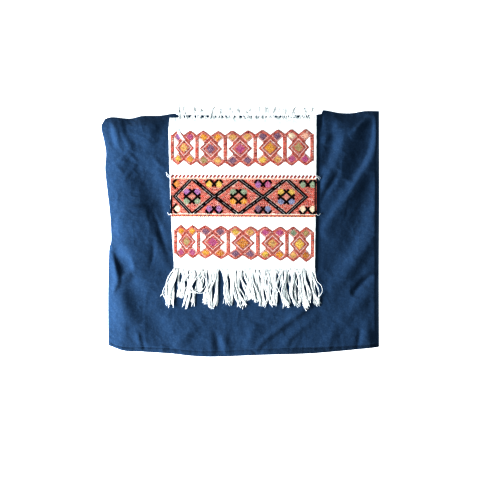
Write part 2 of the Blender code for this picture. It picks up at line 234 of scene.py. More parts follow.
YARN_NAMES = ("bare", *YARNS)


# ---------------------------------------------------------------- the cloth's relief


def ease(share):
    """0 to 1, level at both ends."""
    share = np.clip(share, 0.0, 1.0)
    return share * share * (3.0 - 2.0 * share)


def bell(away, width):
    """1 in the middle and nearly 0 at twice the width."""
    return np.exp(-((away / width) ** 2))


def smooth_curve(points, per_step=FOLD_SAMPLES):
    """Catmull-Rom curve through the points, with per_step straight steps between two of them."""
    points = np.array(points, float)
    ends = np.concatenate([2 * points[:1] - points[1:2], points, 2 * points[-1:] - points[-2:-1]])
    share = np.arange(per_step)[:, None] / per_step
    pieces = [
        start
        + share * (end - before) / 2
        + share**2 * (before - 2.5 * start + 2 * end - after / 2)
        + share**3 * (1.5 * (start - end) + (after - before) / 2)
        for before, start, end, after in zip(ends, ends[1:], ends[2:], ends[3:])
    ]
    return np.concatenate([*pieces, points[-1:]])


def edge_at(edge, along):
    """Where an uneven edge lies, at each place along it."""
    curve = smooth_curve(edge)
    return np.interp(along, curve[:, 0], curve[:, 1])


def bells(folds, x, y):
    """Each fold is a bell across its path that fades out at both ends."""
    total = np.zeros_like(x)
    for fold in folds:
        spine = smooth_curve(fold.path)
        start, step = spine[:-1], np.diff(spine, axis=0)
        reach = FOLD_END * max(fold.left, fold.right)
        low, high = spine.min(0) - reach, spine.max(0) + reach
        near = (x > low[0]) & (x < high[0]) & (y > low[1]) & (y < high[1])
        from_x = x[near, None] - start[:, 0]
        from_y = y[near, None] - start[:, 1]
        share = (from_x * step[:, 0] + from_y * step[:, 1]) / (step**2).sum(1)
        share = np.clip(share, 0.0, 1.0)
        away = np.hypot(from_x - share * step[:, 0], from_y - share * step[:, 1])
        nearest = away.argmin(1)
        row = np.arange(len(nearest))
        progress = (nearest + share[row, nearest]) / len(step)
        turn = step[:, 0] * from_y - step[:, 1] * from_x
        reach = np.where(turn[row, nearest] > 0, fold.left, fold.right)
        fade = (4 * progress * (1 - progress)) ** FOLD_FADE
        total[near] += fold.height * fade * bell(away[row, nearest], reach)
    return total


def fold_heights(x, y):
    """The main folds, with troughs that cross flattened out."""
    total = bells(FOLDS, x, y)
    sunk = TROUGH_LIMIT * (1 - np.exp(np.minimum(total, 0) / TROUGH_LIMIT))
    return np.maximum(total, 0) - sunk


def wander(x, y, size, seed):
    """Smooth noise from -1 to 1 whose lumps are about size wide."""
    places = zip(np.ravel(x) / size, np.ravel(y) / size)
    return np.reshape([noise.noise((*place, seed)) for place in places], np.shape(x))


def waves(x, y, layers):
    """Layers of smooth noise added up, each with its share, size and seed."""
    return sum(share * wander(x, y, size, seed) for share, size, seed in layers)


def seam_distances(x, y):
    """How far inside the side seams, the top seam and the mouth a point is."""
    to_right = RIGHT_STEEPNESS * (edge_at(RIGHT_EDGE, y) - x)
    to_side = np.minimum(x - edge_at(LEFT_EDGE, y), to_right)
    return to_side, edge_at(TOP_EDGE, x) - y, y - edge_at(MOUTH_EDGE, x)


def outside_panel(x, y):
    """How far outside the panel's outline a point is."""
    out_x = np.maximum(edge_at(PANEL_LEFT, y) - x, x - edge_at(PANEL_RIGHT, y))
    out_y = np.maximum(PANEL_BOTTOM - y, y - PANEL_TOP)
    return np.maximum(out_x, out_y)


def front_underside(x, y):
    """Height of the lower face of the front's solid."""
    to_side, to_top, to_mouth = seam_distances(x, y)
    rise = np.sin(pi / 2 * np.clip(to_side / SEAM_RISE, 0, 1))
    rise = rise * np.sin(pi / 2 * np.clip(to_top / SEAM_RISE, 0, 1))
    loft = MOUTH_LOFT + (LOFT - MOUTH_LOFT) * ease(to_mouth / MOUTH_BLEND)
    hold = ease(np.minimum(to_side, to_top) / SEAM_HOLD)
    press = PANEL_PRESS + (1 - PANEL_PRESS) * ease(outside_panel(x, y) / PANEL_SIDE_FADE)
    lift = rise * loft + hold * press * fold_heights(x, y)
    floor = CLOTH + GAP
    return floor + np.where(lift > 1, lift, np.exp(np.minimum(lift, 1) - 1))


def panel_underside(x, y):
    """The panel lies on the highest cloth near each of its points."""
    highest = front_underside(x, y)
    for angle in np.linspace(0, 2 * pi, STIFFNESS_DIRECTIONS, endpoint=False):
        near_x, near_y = x + PANEL_STIFFNESS * np.cos(angle), y + PANEL_STIFFNESS * np.sin(angle)
        highest = np.maximum(highest, front_underside(near_x, near_y))
    return highest + CLOTH + GAP


LAST_CELL = 1.001  # keeps the grid's last line inside its last cell


class Relief:
    """Heights sampled once on a grid, then read anywhere between its lines."""

    def __init__(self, height, low, high, step):
        self.x = np.arange(low[0], high[0] + step, step)
        self.y = np.arange(low[1], high[1] + step, step)
        across, up = np.meshgrid(self.x, self.y, indexing="ij")
        self.heights = height(across.ravel(), up.ravel()).reshape(across.shape)
        self.low, self.step = low, step

    def at(self, x, y):
        column = np.clip((x - self.low[0]) / self.step, 0, len(self.x) - LAST_CELL)
        row = np.clip((y - self.low[1]) / self.step, 0, len(self.y) - LAST_CELL)
        left, lower = column.astype(int), row.astype(int)
        share = column - left
        below, above = (
            self.heights[left, line] * (1 - share) + self.heights[left + 1, line] * share
            for line in (lower, lower + 1)
        )
        return below + (above - below) * (row - lower)


# ---------------------------------------------------------------- settings


def amount(kind, name, description, default, low, high, **rest):
    """A number that a user may change."""
    return kind(name=name, description=description, default=default, min=low, max=high, **rest)


def length(name, description, default, low, high):
    """A size that a user may change, given here in millimetres and kept in metres."""
    return amount(
        FloatProperty, name, description, default * MM, low * MM, high * MM,
        unit="LENGTH", precision=5,
    )


def colour(name, description, default):
    return amount(FloatVectorProperty, name, description, default, 0, 1, subtype="COLOR")


class CaseSettings(bpy.types.PropertyGroup):
    """Cotton of the case."""

    thickness: length("Cloth thickness", "Thickness of the navy cotton", 0.8, 0.2, 1.2)
    spacing: length("Mesh spacing", "Distance between the front's grid lines", 2.1, 1.8, 6)
    wrinkles: length("Wrinkles", "Height of the small wrinkles", 0.55, 0, 2)
    weave: length("Thread pitch", "Distance between two threads of the cotton", 0.5, 0.3, 2)
    stitch: length("Stitch length", "Length of one stitch of the hem", 2.6, 1, 6)
    navy: colour("Navy", "Colour of the front", (0.0190, 0.0452, 0.0915))
    navy_back: colour("Navy of the back", "Colour of the back", (0.0175, 0.0430, 0.0880))


class PanelSettings(bpy.types.PropertyGroup):
    """White ground cloth of the panel."""

    thickness: length("Cloth thickness", "Thickness of the white cloth", 0.9, 0.3, 1.5)
    spacing: length("Mesh spacing", "Distance between the panel's grid lines", 1.8, 1.5, 6)
    weave: length("Thread pitch", "Distance between two threads of the white cloth", 0.8, 0.4, 2)
    white: colour("White", "Colour of the cloth and its loose ends", (0.90, 0.90, 0.89))


class BrocadeSettings(bpy.types.PropertyGroup):
    """Coloured pattern yarns laid over the white ground."""

    row: length("Row pitch", "Distance between two rows of pattern yarn", 1.1, 0.9, 3)
    warp: length("Warp pitch", "Distance between the warp ends that yarns pass over", 0.6, 0.4, 2)
    proud: length("Yarn height", "How thick the pattern yarn is", 0.55, 0.3, 1.2)
    reach: amount(
        IntProperty, "Float length", "Warp ends that one stitch passes over at most", 6, 3, 16
    )
    ground: colour("Coral", "Main colour of the pattern yarn", YARNS["coral"])


class FringeSettings(bpy.types.PropertyGroup):
    """Loose warp ends of the panel."""

    thread: length("Thread thickness", "Thickness of one loose warp end", 0.85, 0.4, 1.5)
    lower_locks: amount(
        IntProperty, "Locks in a lower bunch", "Locks of threads in each lower bunch", 7, 1, 8
    )
    upper_locks: amount(
        IntProperty, "Locks in an upper bunch", "Locks of threads in each upper bunch", 3, 1, 5
    )


class StageSettings(bpy.types.PropertyGroup):
    """Camera, light and floor."""

    camera_height: length(
        "Camera height", "Height of the camera above the surface", 2400, 800, 4000
    )
    view_width: length(
        "View width", "Width of the surface that the camera takes in", 793, 300, 3000
    )
    key_power: amount(
        FloatProperty, "Key light", "Power of the soft light on the left", 102, 0, 400, unit="POWER"
    )
    fill: amount(FloatProperty, "Fill light", "Strength of the even light all around", 0.44, 0, 3)
    fill_tint: colour("Fill tint", "Colour of the even light", (0.74, 0.95, 1.0))
    floor: colour("Floor", "Colour of the surface", (0.93, 0.93, 0.94))


SETTINGS = {
    "pillowcase_case": CaseSettings,
    "pillowcase_panel": PanelSettings,
    "pillowcase_brocade": BrocadeSettings,
    "pillowcase_fringe": FringeSettings,
    "pillowcase_stage": StageSettings,
}


# ---------------------------------------------------------------- finishes


class Value:
    """A number or colour that changes over a surface. Arithmetic on it adds Math nodes."""

    def __init__(self, nodes, socket):
        self.nodes = nodes
        self.socket = socket

    def math(self, operation, *terms):
        return self.nodes.node("ShaderNodeMath", {"operation": operation}, dict(enumerate(terms)))

    def __add__(self, other):
        return self.math("ADD", self, other)

    def __sub__(self, other):
        return self.math("SUBTRACT", self, other)

    def __rsub__(self, other):
        return self.math("SUBTRACT", other, self)

    def __mul__(self, other):
        return self.math("MULTIPLY", self, other)

    __radd__ = __add__
    __rmul__ = __mul__

    def sine(self):
        return self.math("SINE", self)

    def size(self):
        return self.math("ABSOLUTE", self)


class Nodes:
    """A node tree that is being put together."""

    def __init__(self, tree):
        self.tree = tree

    def put(self, socket, value):
        if isinstance(value, Value):
            self.tree.links.new(value.socket, socket)
        else:
            socket.default_value = value

    def node(self, kind, settings, inputs, output=0):
        """Adds a node: its settings first, then its inputs."""
        made = self.tree.nodes.new(kind)
        for name, value in settings.items():
            setattr(made, name, value)
        for key, value in inputs.items():
            self.put(made.inputs[key], value)
        return Value(self, made.outputs[output])

    def spread(self, value, low, high, to_low=0.0, to_high=1.0):
        """Stretches the part of value between low and high over the new range."""
        return self.node(
            "ShaderNodeMapRange", {"clamp": True},
            {0: value, 1: low, 2: high, 3: to_low, 4: to_high},
        )

    def mix(self, share, first, second):
        colours = [value if isinstance(value, Value) else (*value, 1.0) for value in (first, second)]
        return self.node(
            "ShaderNodeMix", {"data_type": "RGBA"}, {0: share, 6: colours[0], 7: colours[1]}, 2
        )


class Finish(Nodes):
    """A cloth or yarn material that is being put together."""

    def __init__(self, name, roughness, sheen=0.0, sheen_tint=(1.0, 1.0, 1.0)):
        self.material = bpy.data.materials.new(name)
        self.material.use_nodes = True
        super().__init__(self.material.node_tree)
        self.set("Roughness", roughness)
        self.set("Sheen Weight", sheen)
        self.set("Sheen Tint", (*sheen_tint, 1.0))
        self.set("Sheen Roughness", 0.45)
        self.set("Specular IOR Level", 0.0)

    def set(self, name, value):
        self.put(self.tree.nodes["Principled BSDF"].inputs[name], value)

    def coordinates(self):
        return self.node("ShaderNodeTexCoord", {}, {}, "Object")

    def place(self):
        """Object coordinates, one number for each axis."""
        place = self.coordinates()
        return tuple(self.node("ShaderNodeSeparateXYZ", {}, {0: place}, axis) for axis in "XYZ")

    def noise(self, size, detail=2.0, stretch=(1.0, 1.0, 1.0), roughness=0.5):
        """Noise on object coordinates, with lumps about size metres wide."""
        scale = tuple(1 / (size * axis) for axis in stretch)
        mapped = self.node(
            "ShaderNodeMapping", {}, {"Vector": self.coordinates(), "Scale": scale}
        )
        return self.node(
            "ShaderNodeTexNoise", {},
            {"Vector": mapped, "Scale": 1.0, "Detail": detail, "Roughness": roughness},
        )

    def ply(self, way, pitch):
        """Strands wound round a yarn, 1 on their crowns."""
        return (way * (pi / pitch)).sine().size()

    def tinted(self, base, share):
        """The base colour made lighter or darker by share, 1 leaving it as it is."""
        return self.node(
            "ShaderNodeVectorMath", {"operation": "SCALE"}, {0: base, "Scale": share}
        )

    def bump(self, height, depth, strength=1.0, onto=None):
        inputs = {"Height": height, "Distance": depth, "Strength": strength}
        if onto is not None:
            inputs["Normal"] = onto
        return self.node("ShaderNodeBump", {}, inputs)

    def finished(self, base, relief):
        """The material, once its colour and its relief are known."""
        self.set("Base Color", base)
        self.set("Normal", relief)
        return self.material


def plain_weave(finish, pitch):
    """Threads over and under one another, 0 in the gaps and 1 on the crowns."""
    x, y, _ = finish.place()
    drift = finish.noise(pitch * 9, 1.0) * 1.6
    along = (x * (pi / pitch) + drift).sine()
    across = (y * (pi / pitch) + drift).sine()
    return along * across * 0.35 + along.size() * across.size() * 0.3 + 0.35


LINT = (0.028, 0.036, 0.040)  # light that the lint adds to the dye's
LINT_SHARE = 0.7
LINT_GAIN = 1.3  # how much lighter the dye itself looks through lint
HEM_PAINTED_SHADE = 0.42  # how much darker the hem's right half is painted below its stitches: painted shade of the hem's rounded fold
# Faint creases that run up or across the cotton: their spacing in metres, and their stretch
SOFT_CREASES = ((0.045, (1.0, 1.8, 1.0)), (0.030, (1.7, 1.0, 1.0)))
SLUB = 0.0011  # width in metres of the uneven threads


def cotton(name, shade, pitch):
    """Plain-woven navy cotton, a little uneven in its dye and with light lint."""
    finish = Finish(name, 0.8, sheen=0.12, sheen_tint=(1.0, 1.0, 0.90))
    weave = plain_weave(finish, pitch)
    upright, level = (finish.noise(SLUB, 1.0, way) for way in ((1.0, 14.0, 1.0), (14.0, 1.0, 1.0)))
    slubs = upright + level
    dye = finish.noise(0.022, 4.0, roughness=0.62)
    lint = finish.spread(finish.noise(0.0024, 4.0, roughness=0.8), 0.48, 0.78)
    # the weave's share darkens its gaps, a little painted shade; the dye and the slubs are uneven tone
    depth = 0.58 + dye * 0.60 + slubs * 0.12 + weave * 0.10
    # painted shade: the colour is darkened on the hem's right half, below its stitches
    hem_shade = finish.node("ShaderNodeAttribute", {"attribute_name": "hem_shade"}, {}, "Fac")
    depth = depth * (1 - hem_shade * HEM_PAINTED_SHADE)
    light = tuple(LINT_GAIN * value + pale for value, pale in zip(shade, LINT))
    dyed = finish.mix(lint * LINT_SHARE, finish.tinted(shade, depth), light)
    finish.set("Roughness", finish.spread(dye, 0.3, 0.7, 0.72, 0.88))
    crinkled = finish.bump(finish.noise(0.009, 3.0, (1.0, 1.3, 1.0)), 0.0011, 0.6)
    for size, stretch in SOFT_CREASES:
        away = (finish.noise(size, 2.0, stretch) - 0.5).size()
        crinkled = finish.bump(finish.spread(away, 0.0, 0.09, 1.0, 0.0), 0.0006, 0.6, crinkled)
    return finish.finished(dyed, finish.bump(weave + slubs * 0.5, 0.00012, 0.7, crinkled))


def white_weave(shade, pitch):
    """Hand-woven white cotton with rounder threads."""
    finish = Finish("white_weave", 0.85, sheen=0.1)
    weave = plain_weave(finish, pitch)
    rows = finish.noise(0.0012, 1.0, (30.0, 1.0, 1.0))
    # partly painted shade: the weave's gaps are darker and its crowns lighter; the rows differ in tone
    # at random
    tone = finish.spread(weave, 0.1, 0.9, 0.88, 1.04) * finish.spread(rows, 0.3, 0.7, 0.965, 1.02)
    puckers = finish.bump(finish.noise(0.006, 2.0, (1.6, 1.0, 1.0)), 0.0006, 0.5)
    relief = finish.bump(weave + rows * 0.6, 0.00022, 0.8, puckers)
    return finish.finished(finish.tinted(shade, tone), relief)


def pattern_yarn():
    """Brocade yarn in the colour that each stitch carries, with its ply showing."""
    finish = Finish("pattern_yarn", 0.8)
    shade = finish.node("ShaderNodeAttribute", {"attribute_name": "yarn"}, {}, "Color")
    x, y, _ = finish.place()
    ply = finish.ply(x * 0.6 + y, 0.00042)
    fuzz = finish.noise(0.0009, 3.0, roughness=0.65)
    # partly painted shade: the ply's grooves are darker than its crowns; the fuzz is uneven tone
    tinted = finish.tinted(shade, 0.62 + fuzz * 0.46 + ply * 0.22)
    return finish.finished(tinted, finish.bump(ply * 0.7 + fuzz, 0.00016, 0.7))


def loose_thread(shade):
    """White warp end, its ply wound round it."""
    finish = Finish("loose_thread", 0.85, sheen=0.1)
    finish.set("Subsurface Weight", 0.6)
    finish.set("Subsurface Radius", (1.0, 1.0, 1.0))
    finish.set("Subsurface Scale", MM)
    x, y, z = finish.place()
    ply = finish.ply(x + y * 0.45 + z, 0.0005)
    fuzz = finish.noise(0.0007, 3.0, roughness=0.7)
    # partly painted shade: the ply's grooves are a little darker than its crowns; the fuzz is uneven
    # tone
    tinted = finish.tinted(shade, 0.90 + ply * 0.07 + fuzz * 0.08)
    return finish.finished(tinted, finish.bump(ply + fuzz * 0.8, 0.00018, 0.6))


def sewing_thread(shade):
    finish = Finish("sewing_thread", 0.6, sheen=0.1)
    fuzz = finish.noise(0.0005, 2.0)
    return finish.finished(finish.tinted(shade, 0.5 + fuzz * 0.4), finish.bump(fuzz, 0.0001))


def floor_paper(shade):
    finish = Finish("floor_paper", 0.7)
    grain = finish.noise(0.004, 2.0)
    finish.set("Emission Color", (*shade, 1.0))
    finish.set("Emission Strength", FLOOR_GLOW)
    tinted = finish.tinted(shade, 0.99 + grain * 0.02)
    return finish.finished(tinted, finish.bump(grain, 0.00003, 0.2))


# ---------------------------------------------------------------- meshes


def add_piece(mesh, material):
    """The mesh as a piece of the same name, which rides on the part's one body."""
    obj = bpy.data.objects.new(mesh.name, mesh)
    bpy.context.scene.collection.objects.link(obj)
    mesh.materials.append(material)
    mesh.shade_smooth()
    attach(obj, "root")
    return obj


def add_sheet(mesh, material, thickness, solid):
    """A one-layer mesh with its thickness, half on each side, in the place of a solid."""
    cloth = add_piece(mesh, material)
    thicken = cloth.modifiers.new("Thickness", "SOLIDIFY")
    thicken.thickness = thickness
    thicken.offset = 0.0
    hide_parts(solid)


def as_mesh(bm, name):
    mesh = bpy.data.meshes.new(name)
    bm.to_mesh(mesh)
    bm.free()
    return mesh


def lines_between(start, end, step, rim=(0.0, 0.5, 1.3, 2.6)):
    """Grid lines across a sheet, closer together along both of its rims."""
    inner_start, inner_end = start + rim[-1], end - rim[-1]
    count = max(2, round((inner_end - inner_start) / step))
    inner = np.linspace(inner_start, inner_end, count + 1)
    return np.concatenate([start + np.array(rim[:-1]), inner, end - np.array(rim[-2::-1])])


def sheet_mesh(name, columns, rows, shape):
    """A grid of quads whose lines are at columns and rows, moved to where shape says."""
    bm = bmesh.new()
    cells = len(columns) - 1, len(rows) - 1
    verts = bmesh.ops.create_grid(bm, x_segments=cells[0], y_segments=cells[1], size=0.5)["verts"]
    across = np.array([vert.co.x + 0.5 for vert in verts]) * cells[0]
    up = np.array([vert.co.y + 0.5 for vert in verts]) * cells[1]
    x = np.interp(across, np.arange(len(columns)), columns)
    y = np.interp(up, np.arange(len(rows)), rows)
    for vert, place in zip(verts, np.stack(shape(x, y), 1) * MM):
        vert.co = place
    bmesh.ops.recalc_face_normals(bm, faces=bm.faces[:])
    return as_mesh(bm, name)


def read(elements, name, width, kind=np.float32):
    """One measure of each vertex, corner or face, as rows that are width long."""
    values = np.empty(len(elements) * width, kind)
    elements.foreach_get(name, values)
    return values.reshape(-1, width)


MAP_HALF, MAP_UPPER = 0.49, 0.505  # height of each half of the map, and where the upper one starts


def bake_places(mesh):
    """Lays the map for baking flat from above, with faces that look down in its lower half."""
    corners = read(mesh.vertices, "co", 3)[read(mesh.loops, "vertex_index", 1, np.int32)[:, 0]]
    low, high = corners.min(0), corners.max(0)
    share = (corners - low) / np.maximum(high - low, MM)
    downward = read(mesh.polygons, "normal", 3)[:, 2] < 0
    lower_half = np.repeat(downward, read(mesh.polygons, "loop_total", 1, np.int32)[:, 0])
    up = share[:, 1] * MAP_HALF + np.where(lower_half, 0.0, MAP_UPPER)
    layer = mesh.uv_layers.new(name="OFBake")
    layer.data.foreach_set("uv", np.stack([share[:, 0], up], 1).astype(np.float32).ravel())


STITCH_SHOULDER = (1.36, 1.16, 1.16)  # how much fuller than a ball a stitch is near its ends
STITCH_END = 0.45  # the shoulders lie within this distance of its middle


def grain_shape():
    """One stitch of yarn, closed and rounded: a unit long, wide and high."""
    bm = bmesh.new()
    bmesh.ops.create_uvsphere(bm, u_segments=6, v_segments=3, radius=0.5)
    bmesh.ops.rotate(bm, verts=bm.verts[:], matrix=Matrix.Rotation(pi / 2, 3, "Y"))
    shoulders = [vert for vert in bm.verts if abs(vert.co.x) < STITCH_END]
    bmesh.ops.scale(bm, verts=shoulders, vec=STITCH_SHOULDER)
    bmesh.ops.triangulate(bm, faces=bm.faces[:])
    bmesh.ops.recalc_face_normals(bm, faces=bm.faces[:])
    bm.verts.ensure_lookup_table()
    points = np.array([vert.co[:] for vert in bm.verts])
    faces = np.array([[vert.index for vert in face.verts] for face in bm.faces])
    bm.free()
    return points, faces


def stitches_mesh(name, x, y, along, wide, high, turn, height):
    """Copies of the stitch, one at each place, turned and lying at the height below them."""
    points, faces = grain_shape()
    out = points[:, 0] * along[:, None]
    side = points[:, 1] * wide[:, None]
    cos, sin = np.cos(turn)[:, None], np.sin(turn)[:, None]
    place_x = x[:, None] + out * cos - side * sin
    place_y = y[:, None] + out * sin + side * cos
    lift = height(place_x.ravel(), place_y.ravel()).reshape(place_x.shape)
    place_z = lift + points[:, 2] * high[:, None]
    places = np.stack([place_x, place_y, place_z], 2).reshape(-1, 3) * MM
    corners = faces[None] + (np.arange(len(x)) * len(points))[:, None, None]
    mesh = bpy.data.meshes.new(name)
    mesh.from_pydata(places.tolist(), [], corners.reshape(-1, 3).tolist())
    bake_places(mesh)
    return mesh


def threads_mesh(name, paths, thickness):
    """Round threads along the paths, each an array of points, as one mesh."""
    curve = bpy.data.curves.new(name, "CURVE")
    curve.dimensions = "3D"
    curve.bevel_depth = thickness / 2
    curve.bevel_resolution = 1
    curve.use_fill_caps = True
    for path in paths:
        spline = curve.splines.new("POLY")
        spline.points.add(len(path) - 1)
        places = np.concatenate([path * MM, np.ones((len(path), 1))], 1)
        spline.points.foreach_set("co", places.ravel())
    holder = bpy.data.objects.new(name, curve)
    mesh = bpy.data.meshes.new_from_object(holder)
    bpy.data.objects.remove(holder)
    bpy.data.curves.remove(curve)
    mesh.name = name
    for layer in list(mesh.uv_layers):
        mesh.uv_layers.remove(layer)
    bake_places(mesh)
    return mesh


# ---------------------------------------------------------------- the case

RIM_ROLL = 3.0  # the rim curls down to the seam within this distance
RIM_HEIGHT = 1.3
BACK_SPACING = 4.0
BACK_WAVE, BACK_WAVE_SIZE = 0.12, 30  # the back is nearly flat
FINE_ROWS, FINE_STEP = (3.5, 12.5), 0.9  # closer grid lines round the hem's stitches
HEM_TURN = 1.3  # between the two layers of the hem
HEM_ROUNDING = 0.7  # the fold at the mouth is round within this distance
HEM_LINES = (-9.0, -6.0, -3.0, -1.2, -0.5)  # grid lines on the layer that is turned under
HEM_GROOVE, HEM_GROOVE_WIDTH = 1.0, 1.1
HEM_PUCKER, HEM_PUCKER_REACH = 0.5, 7.0
HEM_FULL, HEM_FULL_AT, HEM_FULL_WIDTH = 0.35, 4.5, 3.0  # the swell below the stitches
HEM_SIDE_FADE = 12
HEM_SHADE_FROM, HEM_SHADE_BLEND = 40.0, 60.0  # where along the hem its painted shade starts
HEM_SHADE_EDGE = 1.5
SEAM_GATHER, SEAM_GATHER_PITCH, SEAM_GATHER_REACH = 0.35, 11, 7
SEAM_GATHER_START = 2  # full height this far inside the seam
SEAM_GATHER_DRIFT, SEAM_GATHER_DRIFT_SIZE = 3, 40  # keeps the gathers from being even
WRINKLE_RISE = 16  # the small wrinkles reach full height this far from the rim
WRINKLES_UNDER_PANEL, WRINKLE_PANEL_FADE = 0.25, 10
# Layers of smooth noise: the share of each in the height, the size of its lumps and its seed
WRINKLES = ((1, 26, 1.0), (0.55, 12, 2.0), (0.3, 6, 3.0))
HEM_GATHERS = ((1, 9.0, 4.0), (0.6, 4.5, 9.0))
STITCH_PITCH = 1.25  # from one hem stitch to the next, in stitch lengths
STITCH_WIDTH, STITCH_HEIGHT, STITCH_LIFT = 0.55, 0.45, 0.05
STITCHES_FROM, STITCHES_TO = 8, 4  # how far the row of stitches ends from each side


def quarter_round(share):
    """0 to 1, steep at first and then level, as on a quarter of a circle."""
    return np.sqrt(1 - (1 - np.clip(share, 0, 1)) ** 2)


def outline(x, y, inset=0.0):
    """Moves a rectangular grid's points so that its rim follows the uneven edges."""
    new_x, new_y = x, y
    for edge, mean, inward in ((LEFT_EDGE, LEFT, 1), (RIGHT_EDGE, RIGHT, -1)):
        share = ease(1 - (x - mean) * inward / EDGE_BLEND)
        new_x = new_x + share * (edge_at(edge, y) + inset * inward - mean)
    for edge, mean, inward in ((MOUTH_EDGE, MOUTH, 1), (TOP_EDGE, TOP, -1)):
        share = ease(1 - (y - mean) * inward / EDGE_BLEND)
        new_y = new_y + share * (edge_at(edge, x) + inset * inward - mean)
    return new_x, new_y


def hem_relief(x, to_mouth):
    """The stitch line's groove, with the cloth puckered along it and full below it."""
    above = to_mouth - edge_at(HEM_WIDTH, x)
    gather = waves(x, np.zeros_like(x), HEM_GATHERS)
    puckers = HEM_PUCKER * gather * bell(np.maximum(above, -above * 0.7), HEM_PUCKER_REACH)
    full = HEM_FULL * bell(above + HEM_FULL_AT, HEM_FULL_WIDTH)
    return puckers + full - HEM_GROOVE * bell(above, HEM_GROOVE_WIDTH)


def front_middle(x, y, wrinkle=0.0):
    """Height of the middle of the front's cloth."""
    to_side, to_top, to_mouth = seam_distances(x, y)
    to_rim = np.minimum(to_side, to_top)
    beside_panel = ease(outside_panel(x, y) / WRINKLE_PANEL_FADE)
    free = WRINKLES_UNDER_PANEL + (1 - WRINKLES_UNDER_PANEL) * beside_panel
    free = ease((to_rim - RIM_ROLL) / WRINKLE_RISE) * free
    drift = SEAM_GATHER_DRIFT * wander(x, y, SEAM_GATHER_DRIFT_SIZE, 5.0)
    gather = np.sin(2 * pi * (x + y) / SEAM_GATHER_PITCH + drift)
    gather = gather * bell(to_rim, SEAM_GATHER_REACH) * ease(to_rim / SEAM_GATHER_START)
    height = front_underside(x, y) + CLOTH / 2
    height = height + free * (bells(CREASES, x, y) + wrinkle * waves(x, y, WRINKLES))
    height = height + SEAM_GATHER * gather
    height = height + hem_relief(x, to_mouth) * ease(to_side / HEM_SIDE_FADE)
    return RIM_HEIGHT + (height - RIM_HEIGHT) * quarter_round(to_rim / RIM_ROLL)


def case_sheet(name, columns, rows, inset, middle, under):
    """A face of the case with its hem turned back on the side that under says, -1 or 1."""
    rows = np.concatenate([MOUTH + np.array(HEM_LINES), rows])

    def shape(x, y):
        from_fold = y - MOUTH
        new_x, new_y = outline(x, np.maximum(y, MOUTH), inset)
        new_y = new_y + np.maximum(-from_fold, 0)
        rounded = np.sign(from_fold) * quarter_round(np.abs(from_fold) / HEM_ROUNDING)
        return new_x, new_y, middle(new_x, new_y) + under * HEM_TURN / 2 * (1 - rounded)

    return sheet_mesh(name, columns, rows, shape)


def paint_hem_shade(mesh):
    """The right half of the hem, below its stitches, is painted darker: painted shade of the hem's
    rounded fold.
    """
    x, y, _ = read(mesh.vertices, "co", 3).T / MM
    below = edge_at(HEM_WIDTH, x) - (y - edge_at(MOUTH_EDGE, x))
    # painted shade, full below the stitches on the hem's right half
    share = ease(below / HEM_SHADE_EDGE) * ease((x - HEM_SHADE_FROM) / HEM_SHADE_BLEND)
    layer = mesh.attributes.new("hem_shade", "FLOAT", "POINT")
    layer.data.foreach_set("value", share.astype(np.float32))


class PILLOWCASE_OT_back(bpy.types.Operator):
    """Lay the back of the case flat on the surface, with its own turned hem"""

    bl_idname = "pillowcase.back"
    bl_label = "Back of the case"

    def execute(self, context):
        case = context.scene.pillowcase_case
        rest = case.thickness / MM / 2

        def middle(x, y):
            return rest + BACK_WAVE * (1 + wander(x, y, BACK_WAVE_SIZE, 7.0))

        columns = lines_between(LEFT, RIGHT, BACK_SPACING)
        rows = lines_between(MOUTH, TOP, BACK_SPACING)
        mesh = case_sheet("back_cloth", columns, rows, BACK_INSET, middle, 1)
        material = cotton("navy_back", case.navy_back[:], case.weave)
        add_sheet(mesh, material, case.thickness, "case_back")
        return {"FINISHED"}


class PILLOWCASE_OT_front(bpy.types.Operator):
    """Lay the slack front over the back, with its folds, rim, turned hem and stitches"""

    bl_idname = "pillowcase.front"
    bl_label = "Front of the case"

    def execute(self, context):
        case = context.scene.pillowcase_case
        step = case.spacing / MM

        def middle(x, y):
            return front_middle(x, y, case.wrinkles / MM)

        columns = lines_between(LEFT, RIGHT, step)
        rows = lines_between(MOUTH, TOP, step)
        fine = np.arange(MOUTH + FINE_ROWS[0], MOUTH + FINE_ROWS[1], FINE_STEP)
        coarse = rows[(rows < fine[0] - FINE_STEP / 2) | (rows > fine[-1] + FINE_STEP / 2)]
        rows = np.sort(np.concatenate([coarse, fine]))
        mesh = case_sheet("front_cloth", columns, rows, 0.0, middle, -1)
        # paints shade onto the hem's right half
        paint_hem_shade(mesh)
        material = cotton("navy_front", case.navy[:], case.weave)
        add_sheet(mesh, material, case.thickness, "case_front")
        self.add_stitches(case, middle)
        return {"FINISHED"}

    def add_stitches(self, case, middle):
        length = case.stitch / MM
        x = np.arange(LEFT + STITCHES_FROM, RIGHT - STITCHES_TO, length * STITCH_PITCH)
        y = edge_at(MOUTH_EDGE, x) + edge_at(HEM_WIDTH, x)
        size = np.ones_like(x)

        def surface(place_x, place_y):
            return middle(place_x, place_y) + case.thickness / MM / 2 + STITCH_LIFT

        mesh = stitches_mesh(
            "hem_stitches", x, y, size * length, size * STITCH_WIDTH, size * STITCH_HEIGHT,
            np.arctan(np.gradient(y, x)), surface,
        )
        add_piece(mesh, sewing_thread(case.navy[:]))


# ---------------------------------------------------------------- the panel

SELVEDGE, SELVEDGE_AT, SELVEDGE_WIDTH = 0.45, 0.8, 1.3  # the woven side edges stand proud
PANEL_RIM_LINES = (0.0, 0.6, 1.3, 2.2)
SIDE_WAVE, SIDE_WAVE_SIZE = 0.5, 9
RIPPLE_STRETCH, RIPPLE_FADE = 0.7, 4
WIDTH_AT = 60.0  # the panel's grid lines are set out on its width here


def panel_sides(x, y):
    """Moves a point's share of the width, 0 to 1, to its place between the panel's sides."""
    level = np.zeros_like(y)
    left = edge_at(PANEL_LEFT, y) + SIDE_WAVE * wander(y, level, SIDE_WAVE_SIZE, 11.0)
    right = edge_at(PANEL_RIGHT, y) + SIDE_WAVE * wander(y, level, SIDE_WAVE_SIZE, 12.0)
    return left + x * (right - left)


